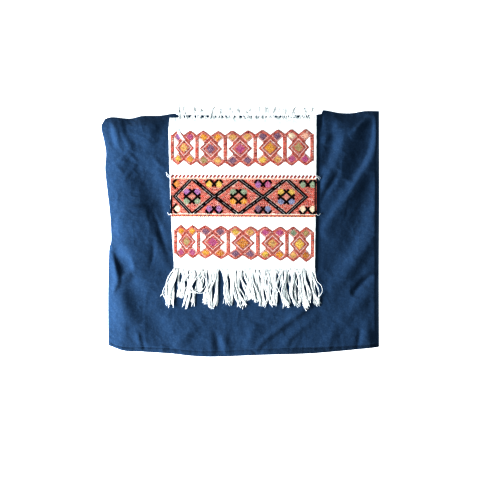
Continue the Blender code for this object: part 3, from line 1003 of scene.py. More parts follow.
def panel_middle(x, y):
    """Height of the middle of the panel's cloth."""
    inside = np.minimum(x - edge_at(PANEL_LEFT, y), edge_at(PANEL_RIGHT, y) - x)
    selvedge = SELVEDGE * bell(inside - SELVEDGE_AT, SELVEDGE_WIDTH)
    ripples = 0.5 * wander(x, y * RIPPLE_STRETCH, 17, 13.0) + 0.22 * wander(x, y, 6, 14.0)
    return panel_underside(x, y) + PANEL_CLOTH / 2 + selvedge + ripples * ease(inside / RIPPLE_FADE)


class PILLOWCASE_OT_panel(bpy.types.Operator):
    """Lay the white woven panel on the front"""

    bl_idname = "pillowcase.panel"
    bl_label = "White panel"

    def execute(self, context):
        panel = context.scene.pillowcase_panel
        step = panel.spacing / MM
        width = edge_at(PANEL_RIGHT, WIDTH_AT) - edge_at(PANEL_LEFT, WIDTH_AT)
        columns = lines_between(0.0, width, step, PANEL_RIM_LINES) / width
        rows = lines_between(PANEL_BOTTOM, PANEL_TOP, step)

        def shape(x, y):
            new_x = panel_sides(x, y)
            return new_x, y, panel_middle(new_x, y)

        mesh = sheet_mesh("panel_cloth", columns, rows, shape)
        material = white_weave(panel.white[:], panel.weave)
        add_sheet(mesh, material, panel.thickness, "woven_panel")
        return {"FINISHED"}


# ---------------------------------------------------------------- the brocade

# Sizes of the motif in one cell of an outer band, from the cell's middle
CELL_HALF_WIDTH, CELL_HALF_HEIGHT = 22.8, 30.0
SMALL_ACROSS, SMALL_UP, SMALL_HALF, SMALL_ROUND = 11.0, 19.4, 9.4, 1.1
ROOF_ACROSS, ROOF_PEAK, ROOF_SLOPE, ROOF_ROUND = 12.0, 31.3, 0.8, 2.0
ROOF_EDGE, ROOF_STROKE, ROOF_GAP = 1.3, 3.5, 4.3
ROOF_FOOT = SMALL_UP - 4  # the roof's stroke starts this far up
BIG_HALF_WIDTH, BIG_HALF_HEIGHT = 17.8, 18.2
BAR_HALF_HEIGHT, BAR_HALF_WIDTH = 21.5, 3.1
# Rings of the diamonds, from and to, as shares of their size. From -1 takes in the middle
CORE, CORE_RING, SMALL_BARE, SMALL_EDGE = 0.66, 0.78, 0.87, 0.93
BIG_RINGS = (
    (-1, 1.02, "coral"), (0.94, 1.02, "brick"), (-1, 0.78, "bare"), (-1, 0.71, "coral"),
    (0.64, 0.71, "brick"),
)
HEART, BRIGHT_HEART = 0.43, 0.50
BRIGHT = ("yellow", "amber", "orange")  # the yarns of the larger hearts
UNEVEN_SIZE, UNEVEN_FROM = 2.4, 0.42  # lumps of noise that darken a few stitches of a heart
CHART_MARGIN, SIDE_MARGIN = 1.5, 4

# Each outer band's upright bars, and the five motifs between them with their yarns
UPPER_BARS = (-114.9, -75.2, -28.7, 20.9, 69.7, 114.2)
UPPER_CELLS = (
    Cell(-96.4, 139.4, 28.7, ("violet", "magenta"), "straw", ("yellow", "amber")),
    Cell(-52.2, 137.3, 29.7, ("amber", "amber"), "indigo", ("olive", "straw")),
    Cell(-3.6, 137.6, 30.2, ("straw", "straw"), "magenta", ("indigo", "indigo")),
    Cell(45.8, 138.9, 30.2, ("indigo", "indigo"), "amber", ("yellow", "straw")),
    Cell(92.3, 139.9, 30.2, ("cream", "peach"), "olive", ("magenta", "magenta")),
)
LOWER_BARS = (-109.4, -72.5, -23.6, 25.3, 73.2, 114.6)
LOWER_CELLS = (
    Cell(-92.0, -14.8, 27.4, ("amber", "amber"), "olive", ("magenta", "magenta")),
    Cell(-48.6, -16.0, 27.5, ("indigo", "indigo"), "magenta", ("amber", "orange")),
    Cell(0.6, -17.2, 28.0, ("yellow", "straw"), "orange", ("indigo", "indigo")),
    Cell(49.4, -18.0, 28.2, ("magenta", "magenta"), "straw", ("yellow", "amber")),
    Cell(94.0, -19.4, 28.8, ("sage", "olive"), "yellow", ("straw", "orange")),
)

# The middle band: where the diamonds' points and tops lie, and what is between them
MIDDLE_LINE = (Edge(-118, 59.4), Edge(0, 58.9), Edge(122, 58.2))
GROUND_HALF_HEIGHT = 28.4
DIAMOND_HALF_HEIGHT = 30.2
ZIGZAG = (
    Edge(-140.5, -1), Edge(-111.7, 0), Edge(-82.9, 1), Edge(-46.6, 0), Edge(-6.6, 1),
    Edge(33.8, 0), Edge(72, 1), Edge(105.1, 0), Edge(138.2, -1),
)
DIAMONDS = (
    Pair(-82.9, 0, "violet", "sage"), Pair(-6.6, 0, "sage", "amber"),
    Pair(72, 0, "yellow", "slate"),
)
PAIRS = (
    Pair(-99.6, 1, "orange", None), Pair(-99.0, -1, "cream", None),
    Pair(-46.6, 1, "yellow", "yellow"), Pair(-46.6, -1, "violet", "violet"),
    Pair(33.8, 1, "violet", "magenta"), Pair(33.8, -1, "indigo", "slate"),
    Pair(107.4, 1, "sage", "sage"), Pair(107.0, -1, "cream", "cream"),
)
PAIR_UP = 20.2
KNOT_HALF_WIDTH, KNOT_HALF_HEIGHT = 9.2, 8.0
KNOT_DOT, KNOT_ARM, KNOT_HEART = 1.85, 1.95, 0.78
HOOK_HALF_WIDTH, HOOK_HALF_HEIGHT = 8.0, 9.2
HOOK, ARM, SIDE_ARM = (-0.1, 1.5), (-0.8, 2.1), (0.4, 2)  # from where to where each line runs
LINE_HALF_WIDTH = 0.26
DOT_HALF_WIDTH, DOT_CORNER = 0.84, 1.45
REDDER_FROM, REDDER_RING, REDDER_HALF_HEIGHT = 95, 0.8, 9  # where the ground is scarlet
BLUSH_RING, BLACK_RING, ASH_RING = (0.805, 0.9), (0.86, 1.10), (0.960, 1.0)
BLUSH_GAPS, ASH_GAPS = (9, 31.0, -0.05), (5, 36.0, -0.25)  # size and seed of noise, and its limit
# Upright lines where the band ends: place, half width and how far up they go
END_LINES = ((119.6, 1.0, GROUND_HALF_HEIGHT), (-116.4, 1.2, 2))
EDGE_ROW = 1.3  # height of the pale row over the ground
MIDDLE_ENDS = (-117.5, 121.5)

# Rows of slanted stitches over the middle band, and of flatter ones under it
Dash = namedtuple("Dash", "start pitch shift up long wide slant yarn")
DASHES = (
    Dash(-115.5, 6.3, 0, 33.2, 6.6, 2.4, 54, "deep_red"),
    Dash(-115.5, 6.3, 1.6, 32.8, 5.4, 1.5, 54, "coral"),
    Dash(-116, 3.4, 0, -29.2, 3.6, 1.0, 0, "cream"),
    Dash(-116, 3.4, 0, -30.6, 4.2, 2.0, 12, "coral"),
    Dash(-116, 6.8, 0, -32.2, 4.6, 1.7, 24, "deep_red"),
    Dash(-112.6, 6.8, 0, -32.4, 4.6, 1.5, 24, "orange"),
)
DASHES_END = 121

# The share of the coral stitches, from and to, that another yarn takes the place of
SPECKLES = (
    (0.0, 0.14, "deep_red"), (0.14, 0.32, "scarlet"), (0.32, 0.36, "blush"), (0.36, 0.62, "rose"),
)
GROUND_SPECKLES = (
    (0.0, 0.08, "deep_red"), (0.08, 0.30, "scarlet"), (0.32, 0.36, "blush"), (0.36, 0.60, "rose"),
)
FADING, GROUND_FADING = 0.05, 0.08
YARN_LIFT = 0.12  # a stitch's middle lies this share of its height above the cloth
DARK_LONGER, DARK_WIDER = 0.8, 1.7  # black stitches cover more than the others
YARN_LONGER, YARN_WIDER = 0.2, 1.12
STAGGER = 3  # where a row's floats break shifts at random, by fewer warp ends than this
SCATTER, TURN_SCATTER = 0.05, 0.6  # of the stitches' places and heights, and of their turn
# How the coral drifts to rose and to scarlet over the cloth, and how a stitch's shade scatters
TO_ROSE, ROSE_MEAN, ROSE_DRIFT, ROSE_SIZE, ROSE_SCATTER = 0.7, 0.35, 1.2, 7, 0.25
SCARLET_DRIFT, SCARLET_SIZE, SCARLET_LEAST = 1.6, 11, 0.15
FADING_SCATTER, MOST_FADED = 1.3, 0.8
SHADE_SCATTER, SHADE_LIMITS = 0.16, (0.6, 1.3)
BROCADE_PATCH = ((-124, -62), (128, 192), 1.5)  # corners and step of the grid of heights below it


def is_yarn(yarns, *names):
    return np.isin(yarns, [YARN_NAMES.index(name) for name in names])


def paint(chart, *layers):
    """Lays each layer's yarn where its mask says, over what is there."""
    for where, name in layers:
        chart[where] = YARN_NAMES.index(name)


def between(value, low, high):
    return (value > low) & (value < high)


def lozenge(across, up, half_width, half_height, roundness=1.0):
    """1 on a diamond's outline, less inside it. Above 1, roundness takes off its corners."""
    out = (np.abs(across) / half_width) ** roundness + (np.abs(up) / half_height) ** roundness
    return out ** (1 / roundness)


def motif_chart(bars, cells, x, y):
    """Yarn at each place of an outer band: in each cell one large and four small diamonds."""
    chart = np.zeros(x.shape, int)
    bars = np.array(bars)
    number = np.clip(np.searchsorted(bars, x) - 1, 0, len(cells) - 1)
    middle = np.array([cell.x for cell in cells])[number]
    reach = np.where(x < middle, middle - bars[number], bars[number + 1] - middle)
    across = (x - middle) / reach * CELL_HALF_WIDTH
    out = np.abs(across)
    up = np.abs(y) / np.array([cell.half_height for cell in cells])[number] * CELL_HALF_HEIGHT
    small = lozenge(out - SMALL_ACROSS, up - SMALL_UP, SMALL_HALF, SMALL_HALF, SMALL_ROUND)
    big = lozenge(out, up, BIG_HALF_WIDTH, BIG_HALF_HEIGHT)
    roof = ROOF_PEAK - ROOF_SLOPE * np.hypot(out - ROOF_ACROSS, ROOF_ROUND)
    below = (roof - up) * ROOF_SLOPE
    inside, covered = below > 0, below > ROOF_STROKE
    outer_side = (up < SMALL_UP) & (out > SMALL_ACROSS)
    paint(
        chart,
        (inside & (below < ROOF_STROKE) & (up > ROOF_FOOT), "coral"),
        (inside & (small < 1.0), "coral"),
        (covered & (small < SMALL_BARE), "bare"),
        (covered & (small < CORE_RING), "coral"),
        (inside & (out < SMALL_ACROSS) & (small > 1.0) & (big > 1.0), "coral"),
        (between(small, SMALL_EDGE, 1.0) & outer_side, "brick"),
        *((between(big, low, high), name) for low, high, name in BIG_RINGS),
        (inside & (below < ROOF_EDGE), "brick"),
        ((out > CELL_HALF_WIDTH - BAR_HALF_WIDTH) & (up < BAR_HALF_HEIGHT), "coral"),
    )
    core = (small < CORE) & (below > ROOF_GAP)
    for index, cell in enumerate(cells):
        here = number == index
        heart = BRIGHT_HEART if cell.centre in BRIGHT else HEART
        paint(chart, (here & (big < heart), cell.centre))
        for pair, row in ((cell.top, y > 0), (cell.bottom, y < 0)):
            for name, side in zip(pair, (across < 0, across > 0)):
                paint(chart, (here & row & core & side, name))
    uneven = wander(x, y, UNEVEN_SIZE, 41.0) > UNEVEN_FROM
    uneven = uneven & ((small < CORE) | (big < HEART)) & (chart > 0)
    paint(
        chart,
        (uneven & inside, "brick"),
        ((x < bars[0] - BAR_HALF_WIDTH) | (x > bars[-1] + BAR_HALF_WIDTH), "bare"),
    )
    return chart


def rounded_dot(one, other):
    """A square with its corners cut off."""
    one, other = np.abs(one), np.abs(other)
    return (np.maximum(one, other) < DOT_HALF_WIDTH) & (one + other < DOT_CORNER * DOT_HALF_WIDTH)


def lattice(across, up, half_width, half_height):
    """How far a place lies across the falling and the rising lines of a diamond lattice."""
    return across / half_width + up / half_height, across / half_width - up / half_height


def knot(chart, across, up, top, bottom):
    """Four crossings round a small diamond, with a dot outside each of its sides."""
    rising, falling = lattice(across, up, KNOT_HALF_WIDTH, KNOT_HALF_HEIGHT)
    ways = ((rising, falling), (falling, rising))
    for one, other in ways:
        dot = rounded_dot(np.abs(one) - KNOT_DOT, other)
        paint(chart, (dot & (up > 0), top), (dot & (up < 0), bottom))
    for one, other in ways:
        line = (np.abs(np.abs(one) - 1) < LINE_HALF_WIDTH) & (np.abs(other) < KNOT_ARM)
        paint(chart, (line, "black"))
    paint(chart, (np.maximum(np.abs(rising), np.abs(falling)) < KNOT_HEART, "rose"))


def hooked_pair(chart, across, up, left, right):
    """Two dots beside a crossing whose upper arms hook over them."""
    rising, falling = lattice(across, up, HOOK_HALF_WIDTH, HOOK_HALF_HEIGHT)
    sides = [(-rising, -falling, left)]
    if right:
        sides.append((falling, rising, right))
    for inward, outward, name in sides:
        arm = (np.abs(inward) < LINE_HALF_WIDTH) & between(outward, *ARM)
        side = (np.abs(inward - 2) < LINE_HALF_WIDTH) & between(outward, *SIDE_ARM)
        paint(
            chart,
            (rounded_dot(inward - 1, outward - 1), name),
            ((np.abs(outward - 2) < LINE_HALF_WIDTH) & between(inward, *HOOK), "black"),
            (arm if right else side, "black"),
        )


def diamond_chart(x, y):
    """Yarn at each place of the middle band: three doubled diamonds on a coral ground."""
    chart = np.zeros(x.shape, int)
    ring = np.abs(y) / DIAMOND_HALF_HEIGHT + 1 - np.interp(x, *np.array(ZIGZAG).T)
    ground = np.abs(y) < GROUND_HALF_HEIGHT
    redder = (ring < REDDER_RING) & (np.abs(y) < REDDER_HALF_HEIGHT)
    paint(chart, (ground, "coral"), (ground & (redder | (x > REDDER_FROM)), "scarlet"))
    for pair in PAIRS:
        hooked_pair(chart, x - pair.across, y * pair.side - PAIR_UP, pair.left, pair.right)
    blush, ash = (
        ground & between(ring, *limits) & (wander(x, y, size, seed) > least)
        for limits, (size, seed, least) in ((BLUSH_RING, BLUSH_GAPS), (ASH_RING, ASH_GAPS))
    )
    paint(
        chart, (blush, "blush"), (ground & between(ring, *BLACK_RING), "black"), (ash, "ash")
    )
    for diamond in DIAMONDS:
        knot(chart, x - diamond.across, y, diamond.left, diamond.right)
    for place, half_width, upper in END_LINES:
        paint(chart, (ground & (np.abs(x - place) < half_width) & (y < upper), "black"))
    paint(
        chart,
        (~ground, "bare"),
        (between(y, GROUND_HALF_HEIGHT, GROUND_HALF_HEIGHT + EDGE_ROW), "peach"),
    )
    return chart


def toward(shade, yarn, share):
    """The colours moved by share toward the colour of a yarn."""
    share = share[:, None]
    return shade * (1 - share) + np.array(YARNS[yarn]) * share


class Brocade:
    """Collects the stitches of one band and makes them one mesh."""

    def __init__(self, settings, seed, speckles, fading):
        self.settings = settings
        self.speckles = speckles
        self.fading = fading
        self.random = np.random.default_rng(seed)
        self.rows = []

    def add(self, x, y, along, wide, turn, names):
        """Stitches at x and y, along by wide, each in the yarn that names gives."""
        values = (x, y, along, wide, turn)
        flat = [np.broadcast_to(value, x.shape).astype(float) for value in values]
        self.rows.append((*flat, np.broadcast_to(names, x.shape)))

    def add_chart(self, chart, middle, half_height, left, right):
        """Turns each row of a chart into runs over the warp ends, broken at the float length."""
        warp, pitch = self.settings.warp / MM, self.settings.row / MM
        columns = np.arange(left, right, warp)
        levels = np.arange(-half_height, half_height, pitch)
        yarn = chart(*np.meshgrid(columns, levels))
        reach = self.settings.reach
        stagger = (np.arange(len(levels)) * (reach // 2 + 1))[:, None]
        stagger = stagger + self.random.integers(0, STAGGER, len(levels))[:, None]
        group = (np.arange(len(columns))[None] + stagger) // reach
        key = yarn * 1000 + group
        for keys, yarns, height in zip(key, yarn, levels):
            starts = np.flatnonzero(np.diff(keys, prepend=-1))
            ends = np.append(starts[1:], len(keys))
            shown = yarns[starts] > 0
            starts, ends = starts[shown], ends[shown]
            yarns[starts] = self.speckled(yarns[starts])
            centre = left + (starts + ends - 1) / 2 * warp
            dark = is_yarn(yarns[starts], "black")
            along = (ends - starts) * warp + np.where(dark, DARK_LONGER, YARN_LONGER)
            wide = pitch * np.where(dark, DARK_WIDER, YARN_WIDER)
            self.add(centre, edge_at(middle, centre) + height, along, wide, 0.0, yarns[starts])

    def speckled(self, yarns):
        """Here and there the coral gives way to a darker or paler stitch."""
        chance = self.random.random(len(yarns))
        coral = is_yarn(yarns, "coral", "scarlet")
        for low, high, name in self.speckles:
            paint(yarns, (coral & between(chance, low, high), name))
        return yarns

    def mesh(self, name, height):
        x, y, along, wide, turn, yarn = (np.concatenate(value) for value in zip(*self.rows))
        jitter = self.random.normal(0, SCATTER, (4, len(x)))
        x, y = x + jitter[0], y + jitter[1]
        turn = turn + jitter[2] * TURN_SCATTER
        high = np.full(len(x), self.settings.proud / MM) * (1 + jitter[3])
        made = stitches_mesh(name, x, y, along, wide, high, turn, height)
        shades = np.clip(self.shades(x, y, yarn.astype(int)), 0, 1)
        shades = np.repeat(shades, len(made.vertices) // len(x), 0)
        rgba = np.concatenate([shades, np.ones((len(shades), 1))], 1)
        layer = made.attributes.new("yarn", "FLOAT_COLOR", "POINT")
        layer.data.foreach_set("color", rgba.astype(np.float32).ravel())
        return made

    def shades(self, x, y, yarn):
        """The yarns' colours, each stitch a little off and the coral drifting to rose."""
        table = np.array([(0, 0, 0), *YARNS.values()])
        table[YARN_NAMES.index("coral")] = self.settings.ground[:]
        coral = is_yarn(yarn, "coral")
        rose = ROSE_MEAN + ROSE_DRIFT * wander(x, y, ROSE_SIZE, 21.0)
        rose = rose + self.random.normal(0, ROSE_SCATTER, len(x))
        shade = toward(table[yarn], "rose", np.clip(rose, 0, 1) * TO_ROSE * coral)
        scarlet = SCARLET_DRIFT * wander(x, y, SCARLET_SIZE, 22.0) - SCARLET_LEAST
        shade = toward(shade, "scarlet", np.clip(scarlet, 0, 1) * coral)
        faded = self.random.normal(self.fading, FADING_SCATTER * self.fading, len(x))
        faded = np.clip(faded, 0, MOST_FADED) * ~is_yarn(yarn, "black", "deep_red")
        shade = toward(shade, "blush", faded)
        uneven = np.clip(self.random.normal(1, SHADE_SCATTER, len(x)), *SHADE_LIMITS)
        return shade * uneven[:, None]


class PILLOWCASE_OT_brocade(bpy.types.Operator):
    """Weave the three bands of coloured pattern yarn, stitch by stitch"""

    bl_idname = "pillowcase.brocade"
    bl_label = "Brocade bands"

    def execute(self, context):
        settings = context.scene.pillowcase_brocade
        top = context.scene.pillowcase_panel.thickness / MM / 2
        relief = Relief(panel_middle, *BROCADE_PATCH)
        material = pattern_yarn()

        def surface(x, y):
            return relief.at(x, y) + top + settings.proud / MM * YARN_LIFT

        bands = (("upper", UPPER_BARS, UPPER_CELLS), ("lower", LOWER_BARS, LOWER_CELLS))
        brocades = {}
        for seed, (name, bars, cells) in enumerate(bands):
            brocade = brocades[f"brocade_{name}"] = Brocade(settings, seed, SPECKLES, FADING)
            brocade.add_chart(
                partial(motif_chart, bars, cells), [(cell.x, cell.y) for cell in cells],
                CELL_HALF_HEIGHT + CHART_MARGIN, bars[0] - SIDE_MARGIN, bars[-1] + SIDE_MARGIN,
            )
        brocade = brocades["brocade_middle"] = Brocade(settings, 7, GROUND_SPECKLES, GROUND_FADING)
        half_height = GROUND_HALF_HEIGHT + EDGE_ROW
        brocade.add_chart(diamond_chart, MIDDLE_LINE, half_height, *MIDDLE_ENDS)
        for dash in DASHES:
            x = np.arange(dash.start, DASHES_END, dash.pitch)
            y = edge_at(MIDDLE_LINE, x) + dash.up
            yarn = YARN_NAMES.index(dash.yarn)
            brocade.add(x + dash.shift, y, dash.long, dash.wide, radians(dash.slant), yarn)
        for name, brocade in brocades.items():
            add_piece(brocade.mesh(name, surface), material)
        return {"FINISHED"}


# ---------------------------------------------------------------- the fringes

THREAD_POINTS = 18
LOCK_THREADS = 4
# How a fringe's locks lie: how much of its room a lock fills at the root, where along it the
# threads have run together, how far apart they lie then and how far they fray at the tip
Habit = namedtuple("Habit", "spread gather looseness fray")
LOWER_HABIT, UPPER_HABIT = Habit(1.6, 0.8, 0.85, 1.2), Habit(1.1, 0.9, 1.7, 2.2)
LEFT_BULGE = -5.0  # the first bunch swings out past the panel's side
LEFT_BULGE_LOCKS = 4  # and is this many locks fuller
LEFT_BULGE_TIP = 0.6  # but narrower at its tip by this much
UPPER_FRINGE_START = -105.5
LEAN = 1.3  # above 1, a lock is more upright at its root than at its tip
# A thread's waves: their height, and limits in radians of their length and where they start
WAVE_HEIGHT, WAVE_TURNS, WAVE_START = 0.5, (6, 15), 6.3
FRAY_POWER = 5  # the higher, the nearer to its tip a thread frays
LENGTH_SCATTER, LAYER_SCATTER = 0.04, 0.2
CROSSING = 0.42  # how far the lower locks change places on their way down
LOWER_BOW, LOWER_SWAY, UPPER_BOW = 2.8, 2.2, 1.4
UPPER_LENGTHS = (0.7, 1.0)  # shares of a bunch's length
PARTING_FADE = 1.4  # the higher, the sooner the partings close
PANEL_END_INSET = 2.5  # the threads start this far inside the panel
LAYER_LIFT, SEAM_LAYER_LIFT, END_LAYER_LIFT = 2.2, 1.6, 0.7  # height between the lowest and top locks

PANEL_FADE_FROM, PANEL_FADE = 0.5, 7  # threads come off the panel's edge over this distance
LAYERS_FROM = 14  # the lower locks lie one over another this far down
ROOT_DEPTH, ROOT_RISE = 0.3, 5  # the roots come out of the cloth, and rise over this distance
SEAM_RIDGE = 1.0  # the rolled seam stands this far over its two cloths
# Corners and step of the grids of heights below the threads
FRONT_PATCH = ((-142, -128), (140, 126), 2.0)
PANEL_PATCH = ((-124, -66), (130, 194), 2.0)

# Where the upper fringe parts at its roots, and half the width of each parting
Parting = namedtuple("Parting", "x half_width")
PARTINGS = (
    Parting(-93.5, 1.4), Parting(-77.1, 1.8), Parting(-65.6, 3.2), Parting(-50.9, 1.8),
    Parting(-43.8, 1.6), Parting(-38.2, 1.4), Parting(-31.2, 3.0), Parting(-22.1, 1.5),
    Parting(-13.1, 1.8), Parting(-1.6, 3.2), Parting(15.6, 1.6), Parting(27.1, 1.4),
    Parting(38.6, 1.4), Parting(47.6, 1.0), Parting(61.5, 1.6), Parting(68.1, 1.0),
    Parting(86.2, 1.6), Parting(99.3, 1.2), Parting(107.5, 1.2),
)

# Threads that left their bunch, seen from above, and how far each stands off what it lies on
STRAYS = (
    (0.5, ((-107, -62), (-116, -84), (-125, -92), (-131, -100), (-135, -105))),
    (0.9, ((-118, -78), (-127, -88), (-131, -98), (-129, -106))),
    (1.2, ((119, -66), (122, -79), (129, -87), (131, -96), (127, -104), (121, -109))),
    (0.8, ((-86, -66), (-96, -82), (-92, -94), (-80, -97), (-68, -92))),
    (1.4, ((-70, -64), (-78, -78), (-84, -92), (-72, -100), (-58, -96), (-50, -88))),
    (0.7, ((-63, -64), (-72, -74), (-88, -86), (-99, -96))),
    (1.0, ((-66, -66), (-60, -80), (-64, -92), (-76, -99), (-86, -98))),
    (0.6, ((57, -64), (63, -82), (58, -98), (50, -112))),
    (1.1, ((64, -64), (56, -84), (62, -100), (66, -116))),
    (0.8, ((34, -64), (44, -84), (52, -102), (46, -118))),
    (0.9, ((96, -64), (88, -82), (97, -100), (94, -117))),
    # short wisps at the panel's sides
    (0.4, ((-118, 92), (-122, 95), (-126, 99))),
    (0.4, ((-118, 90), (-123, 92), (-125, 96))),
    (0.4, ((121, 93), (125, 92), (128, 89))),
    (0.4, ((121, 91), (125, 89), (126, 86))),
    (0.4, ((121, 30), (125, 28), (128, 31))),
    (0.4, ((-117, 31), (-121, 29), (-123, 33))),
)
STRAY_STEPS, STRAY_LIFT, STRAY_CLEAR = 6, 1.6, 0.6
SNAG = ((-106.5, 169.5), (-104, 163), (-100.5, 157), (-97, 151.5))
SNAG_STEPS, SNAG_THREADS, SNAG_HALF_WIDTH = 5, 6, 2.0


def parted(x):
    """Moves a root of the upper fringe out of the partings beside it."""
    for parting in PARTINGS:
        away = x - parting.x
        if abs(away) < 2 * parting.half_width:
            return parting.x + np.copysign(parting.half_width + abs(away) / 2, away)
    return x


def lock_of_threads(random, root, width, tip, reach, bend, habit):
    """Threads that start side by side, run together and fray at the tip: along x, outward, layer."""
    share = np.linspace(0, 1, THREAD_POINTS)
    together = ease(share / habit.gather)
    room = width * habit.spread
    bow, sway = bend
    middle = root + (tip - root) * share**LEAN
    middle = middle + bow * np.sin(pi * share) + sway * np.sin(2 * pi * share)
    layer = random.uniform(0, 1)
    for place in (np.arange(LOCK_THREADS) + 0.5) / LOCK_THREADS - 0.5:
        apart = place * room * (1 - together)
        apart = apart + random.normal(0, habit.looseness) * together
        turns = share * random.uniform(*WAVE_TURNS)
        wave = np.sin(turns + random.uniform(0, WAVE_START)) * share
        x = middle + apart + WAVE_HEIGHT * wave + random.normal(0, habit.fray) * share**FRAY_POWER
        long = reach * (1 + random.normal(0, LENGTH_SCATTER))
        yield x, long * share, layer + random.uniform(0, LAYER_SCATTER)


def lower_threads(locks, random):
    """The lower fringe: locks of threads that cross on their way down."""
    root_left = PANEL_LEFT[0].across
    for bunch in LOWER_FRINGE:
        first = bunch is LOWER_FRINGE[0]
        count = locks + first * LEFT_BULGE_LOCKS
        tip_width = bunch.tip_width * (LEFT_BULGE_TIP if first else 1)
        width = (bunch.root_end - root_left) / count
        spots = (np.arange(count) + 0.5) / count
        order = np.clip(spots + random.normal(0, CROSSING, count), 0, 1)
        for index, place in enumerate(order):
            root = root_left + (index + 0.5) * width
            tip = bunch.tip + (place - 0.5) * tip_width
            bend = random.normal(first * LEFT_BULGE, LOWER_BOW), random.normal(0, LOWER_SWAY)
            reach = bunch.length * (1 + random.normal(0, LENGTH_SCATTER)) + PANEL_END_INSET
            lock = lock_of_threads(random, root, width, tip, reach, bend, LOWER_HABIT)
            for x, outward, layer in lock:
                yield x, PANEL_BOTTOM + PANEL_END_INSET - outward, layer
        root_left = bunch.root_end


def upper_threads(locks, random):
    """The shorter and wilder upper fringe, its locks drawn together at the top seam."""
    root_left = UPPER_FRINGE_START
    for bunch in UPPER_FRINGE:
        width = (bunch.root_end - root_left) / locks
        for index in range(locks):
            root = root_left + (index + 0.5) * width
            tip = bunch.tip + random.uniform(-0.5, 0.5) * bunch.tip_width
            bend = random.normal(0, UPPER_BOW), 0.0
            reach = bunch.length * random.uniform(*UPPER_LENGTHS) + PANEL_END_INSET
            lock = lock_of_threads(random, root, width, tip, reach, bend, UPPER_HABIT)
            for x, outward, layer in lock:
                shift = (parted(x[0]) - x[0]) * (1 - ease(outward / reach * PARTING_FADE))
                yield x + shift, PANEL_TOP - PANEL_END_INSET + outward, layer
        root_left = bunch.root_end


class PILLOWCASE_OT_fringes(bpy.types.Operator):
    """Hang the loose warp ends from both ends of the panel, with strays and a pulled thread"""

    bl_idname = "pillowcase.fringes"
    bl_label = "Fringes"

    def execute(self, context):
        fringe = context.scene.pillowcase_fringe
        case, panel = context.scene.pillowcase_case, context.scene.pillowcase_panel
        self.radius = fringe.thread / MM / 2
        self.over_front = Relief(front_middle, *FRONT_PATCH)
        self.over_panel = Relief(panel_middle, *PANEL_PATCH)
        self.front_skin = case.thickness / MM / 2
        self.panel_skin = panel.thickness / MM / 2
        material = loose_thread(panel.white[:])
        random = np.random.default_rng(5)
        lower = [self.on_front(*thread) for thread in lower_threads(fringe.lower_locks, random)]
        upper = [self.over_seam(*thread) for thread in upper_threads(fringe.upper_locks, random)]
        strays = [self.stray(lift, path) for lift, path in STRAYS]
        strays.extend(self.snag(random))
        pieces = {"fringe_lower": lower, "fringe_upper": upper, "stray_threads": strays}
        for name, paths in pieces.items():
            add_piece(threads_mesh(name, paths, fringe.thread), material)
        return {"FINISHED"}

    def resting(self, x, y):
        """Centre height of a thread that lies on the front, or on the panel inside its outline."""
        bare = self.over_front.at(x, y) + self.front_skin
        covered = self.over_panel.at(x, np.clip(y, PANEL_BOTTOM, PANEL_TOP)) + self.panel_skin
        off = ease((outside_panel(x, y) + PANEL_FADE_FROM) / PANEL_FADE)
        return covered + (bare - covered) * off + self.radius

    def on_front(self, x, y, layer):
        """Out of the panel's lower end and down onto the front."""
        outside = np.maximum(PANEL_BOTTOM - y, 0)
        start = self.over_panel.at(x, np.maximum(y, PANEL_BOTTOM)) + self.panel_skin * ROOT_DEPTH
        spread = layer * LAYER_LIFT * self.radius * 2 * ease(outside / LAYERS_FROM)
        rest = self.resting(x, y) + spread
        return np.stack([x, y, start + (rest - start) * ease((outside + 1) / ROOT_RISE)], 1)

    def over_seam(self, x, y, layer):
        """Over the top seam with clearance, then down to the surface beyond it."""
        beyond = y - edge_at(TOP_EDGE, x)
        seam_height = 2 * CLOTH + GAP + EDGE_CLEARANCE + SEAM_RIDGE
        start = self.over_panel.at(x, np.minimum(y, PANEL_TOP))
        over = np.maximum(start, seam_height) + layer * SEAM_LAYER_LIFT
        drop = ease((beyond - EDGE_CLEARANCE) / DROP_LENGTH)
        return np.stack([x, y, over + (self.radius + layer * END_LAYER_LIFT - over) * drop], 1)

    def stray(self, lift, path):
        x, y = smooth_curve(path, STRAY_STEPS).T
        return np.stack([x, y, self.resting(x, y) + lift * STRAY_LIFT + STRAY_CLEAR], 1)

    def snag(self, random):
        """A few pulled warp ends lying across one motif."""
        across, y = smooth_curve(SNAG, SNAG_STEPS).T
        for offset in np.linspace(-SNAG_HALF_WIDTH, SNAG_HALF_WIDTH, SNAG_THREADS):
            x = across + offset + 0.3 * random.normal(0, 1, len(y)).cumsum() * 0.2
            yield np.stack([x, y, self.resting(x, y) - self.radius * 0.5], 1)


# ---------------------------------------------------------------- a step that does nothing


class PILLOWCASE_OT_declare(bpy.types.Operator):
    """Does nothing: no flat size of a sheet, nor what lies on it, is stated here"""

    bl_idname = "pillowcase.declare"
    bl_label = "Flat sizes"

    def execute(self, context):
        return {"FINISHED"}


# ---------------------------------------------------------------- the stage

SENSOR = 36.0
VIEW_CENTRE = (-4.1, -12.4)
KEY_PLACE = (-1.45, -0.45, 0.54)  # metres
KEY_SIZE = 0.55  # metres
FLOOR_HALF_SIDE = 6.0  # metres
FLOOR_DROP = 0.00005  # the floor lies this many metres below the cloth
DISPLAY_EXPOSURE, DISPLAY_GAMMA = 0.35, 0.72  # lifts the whites and deepens the shadows
FLOOR_GLOW = 0.85  # keeps the surface white where the light falls off


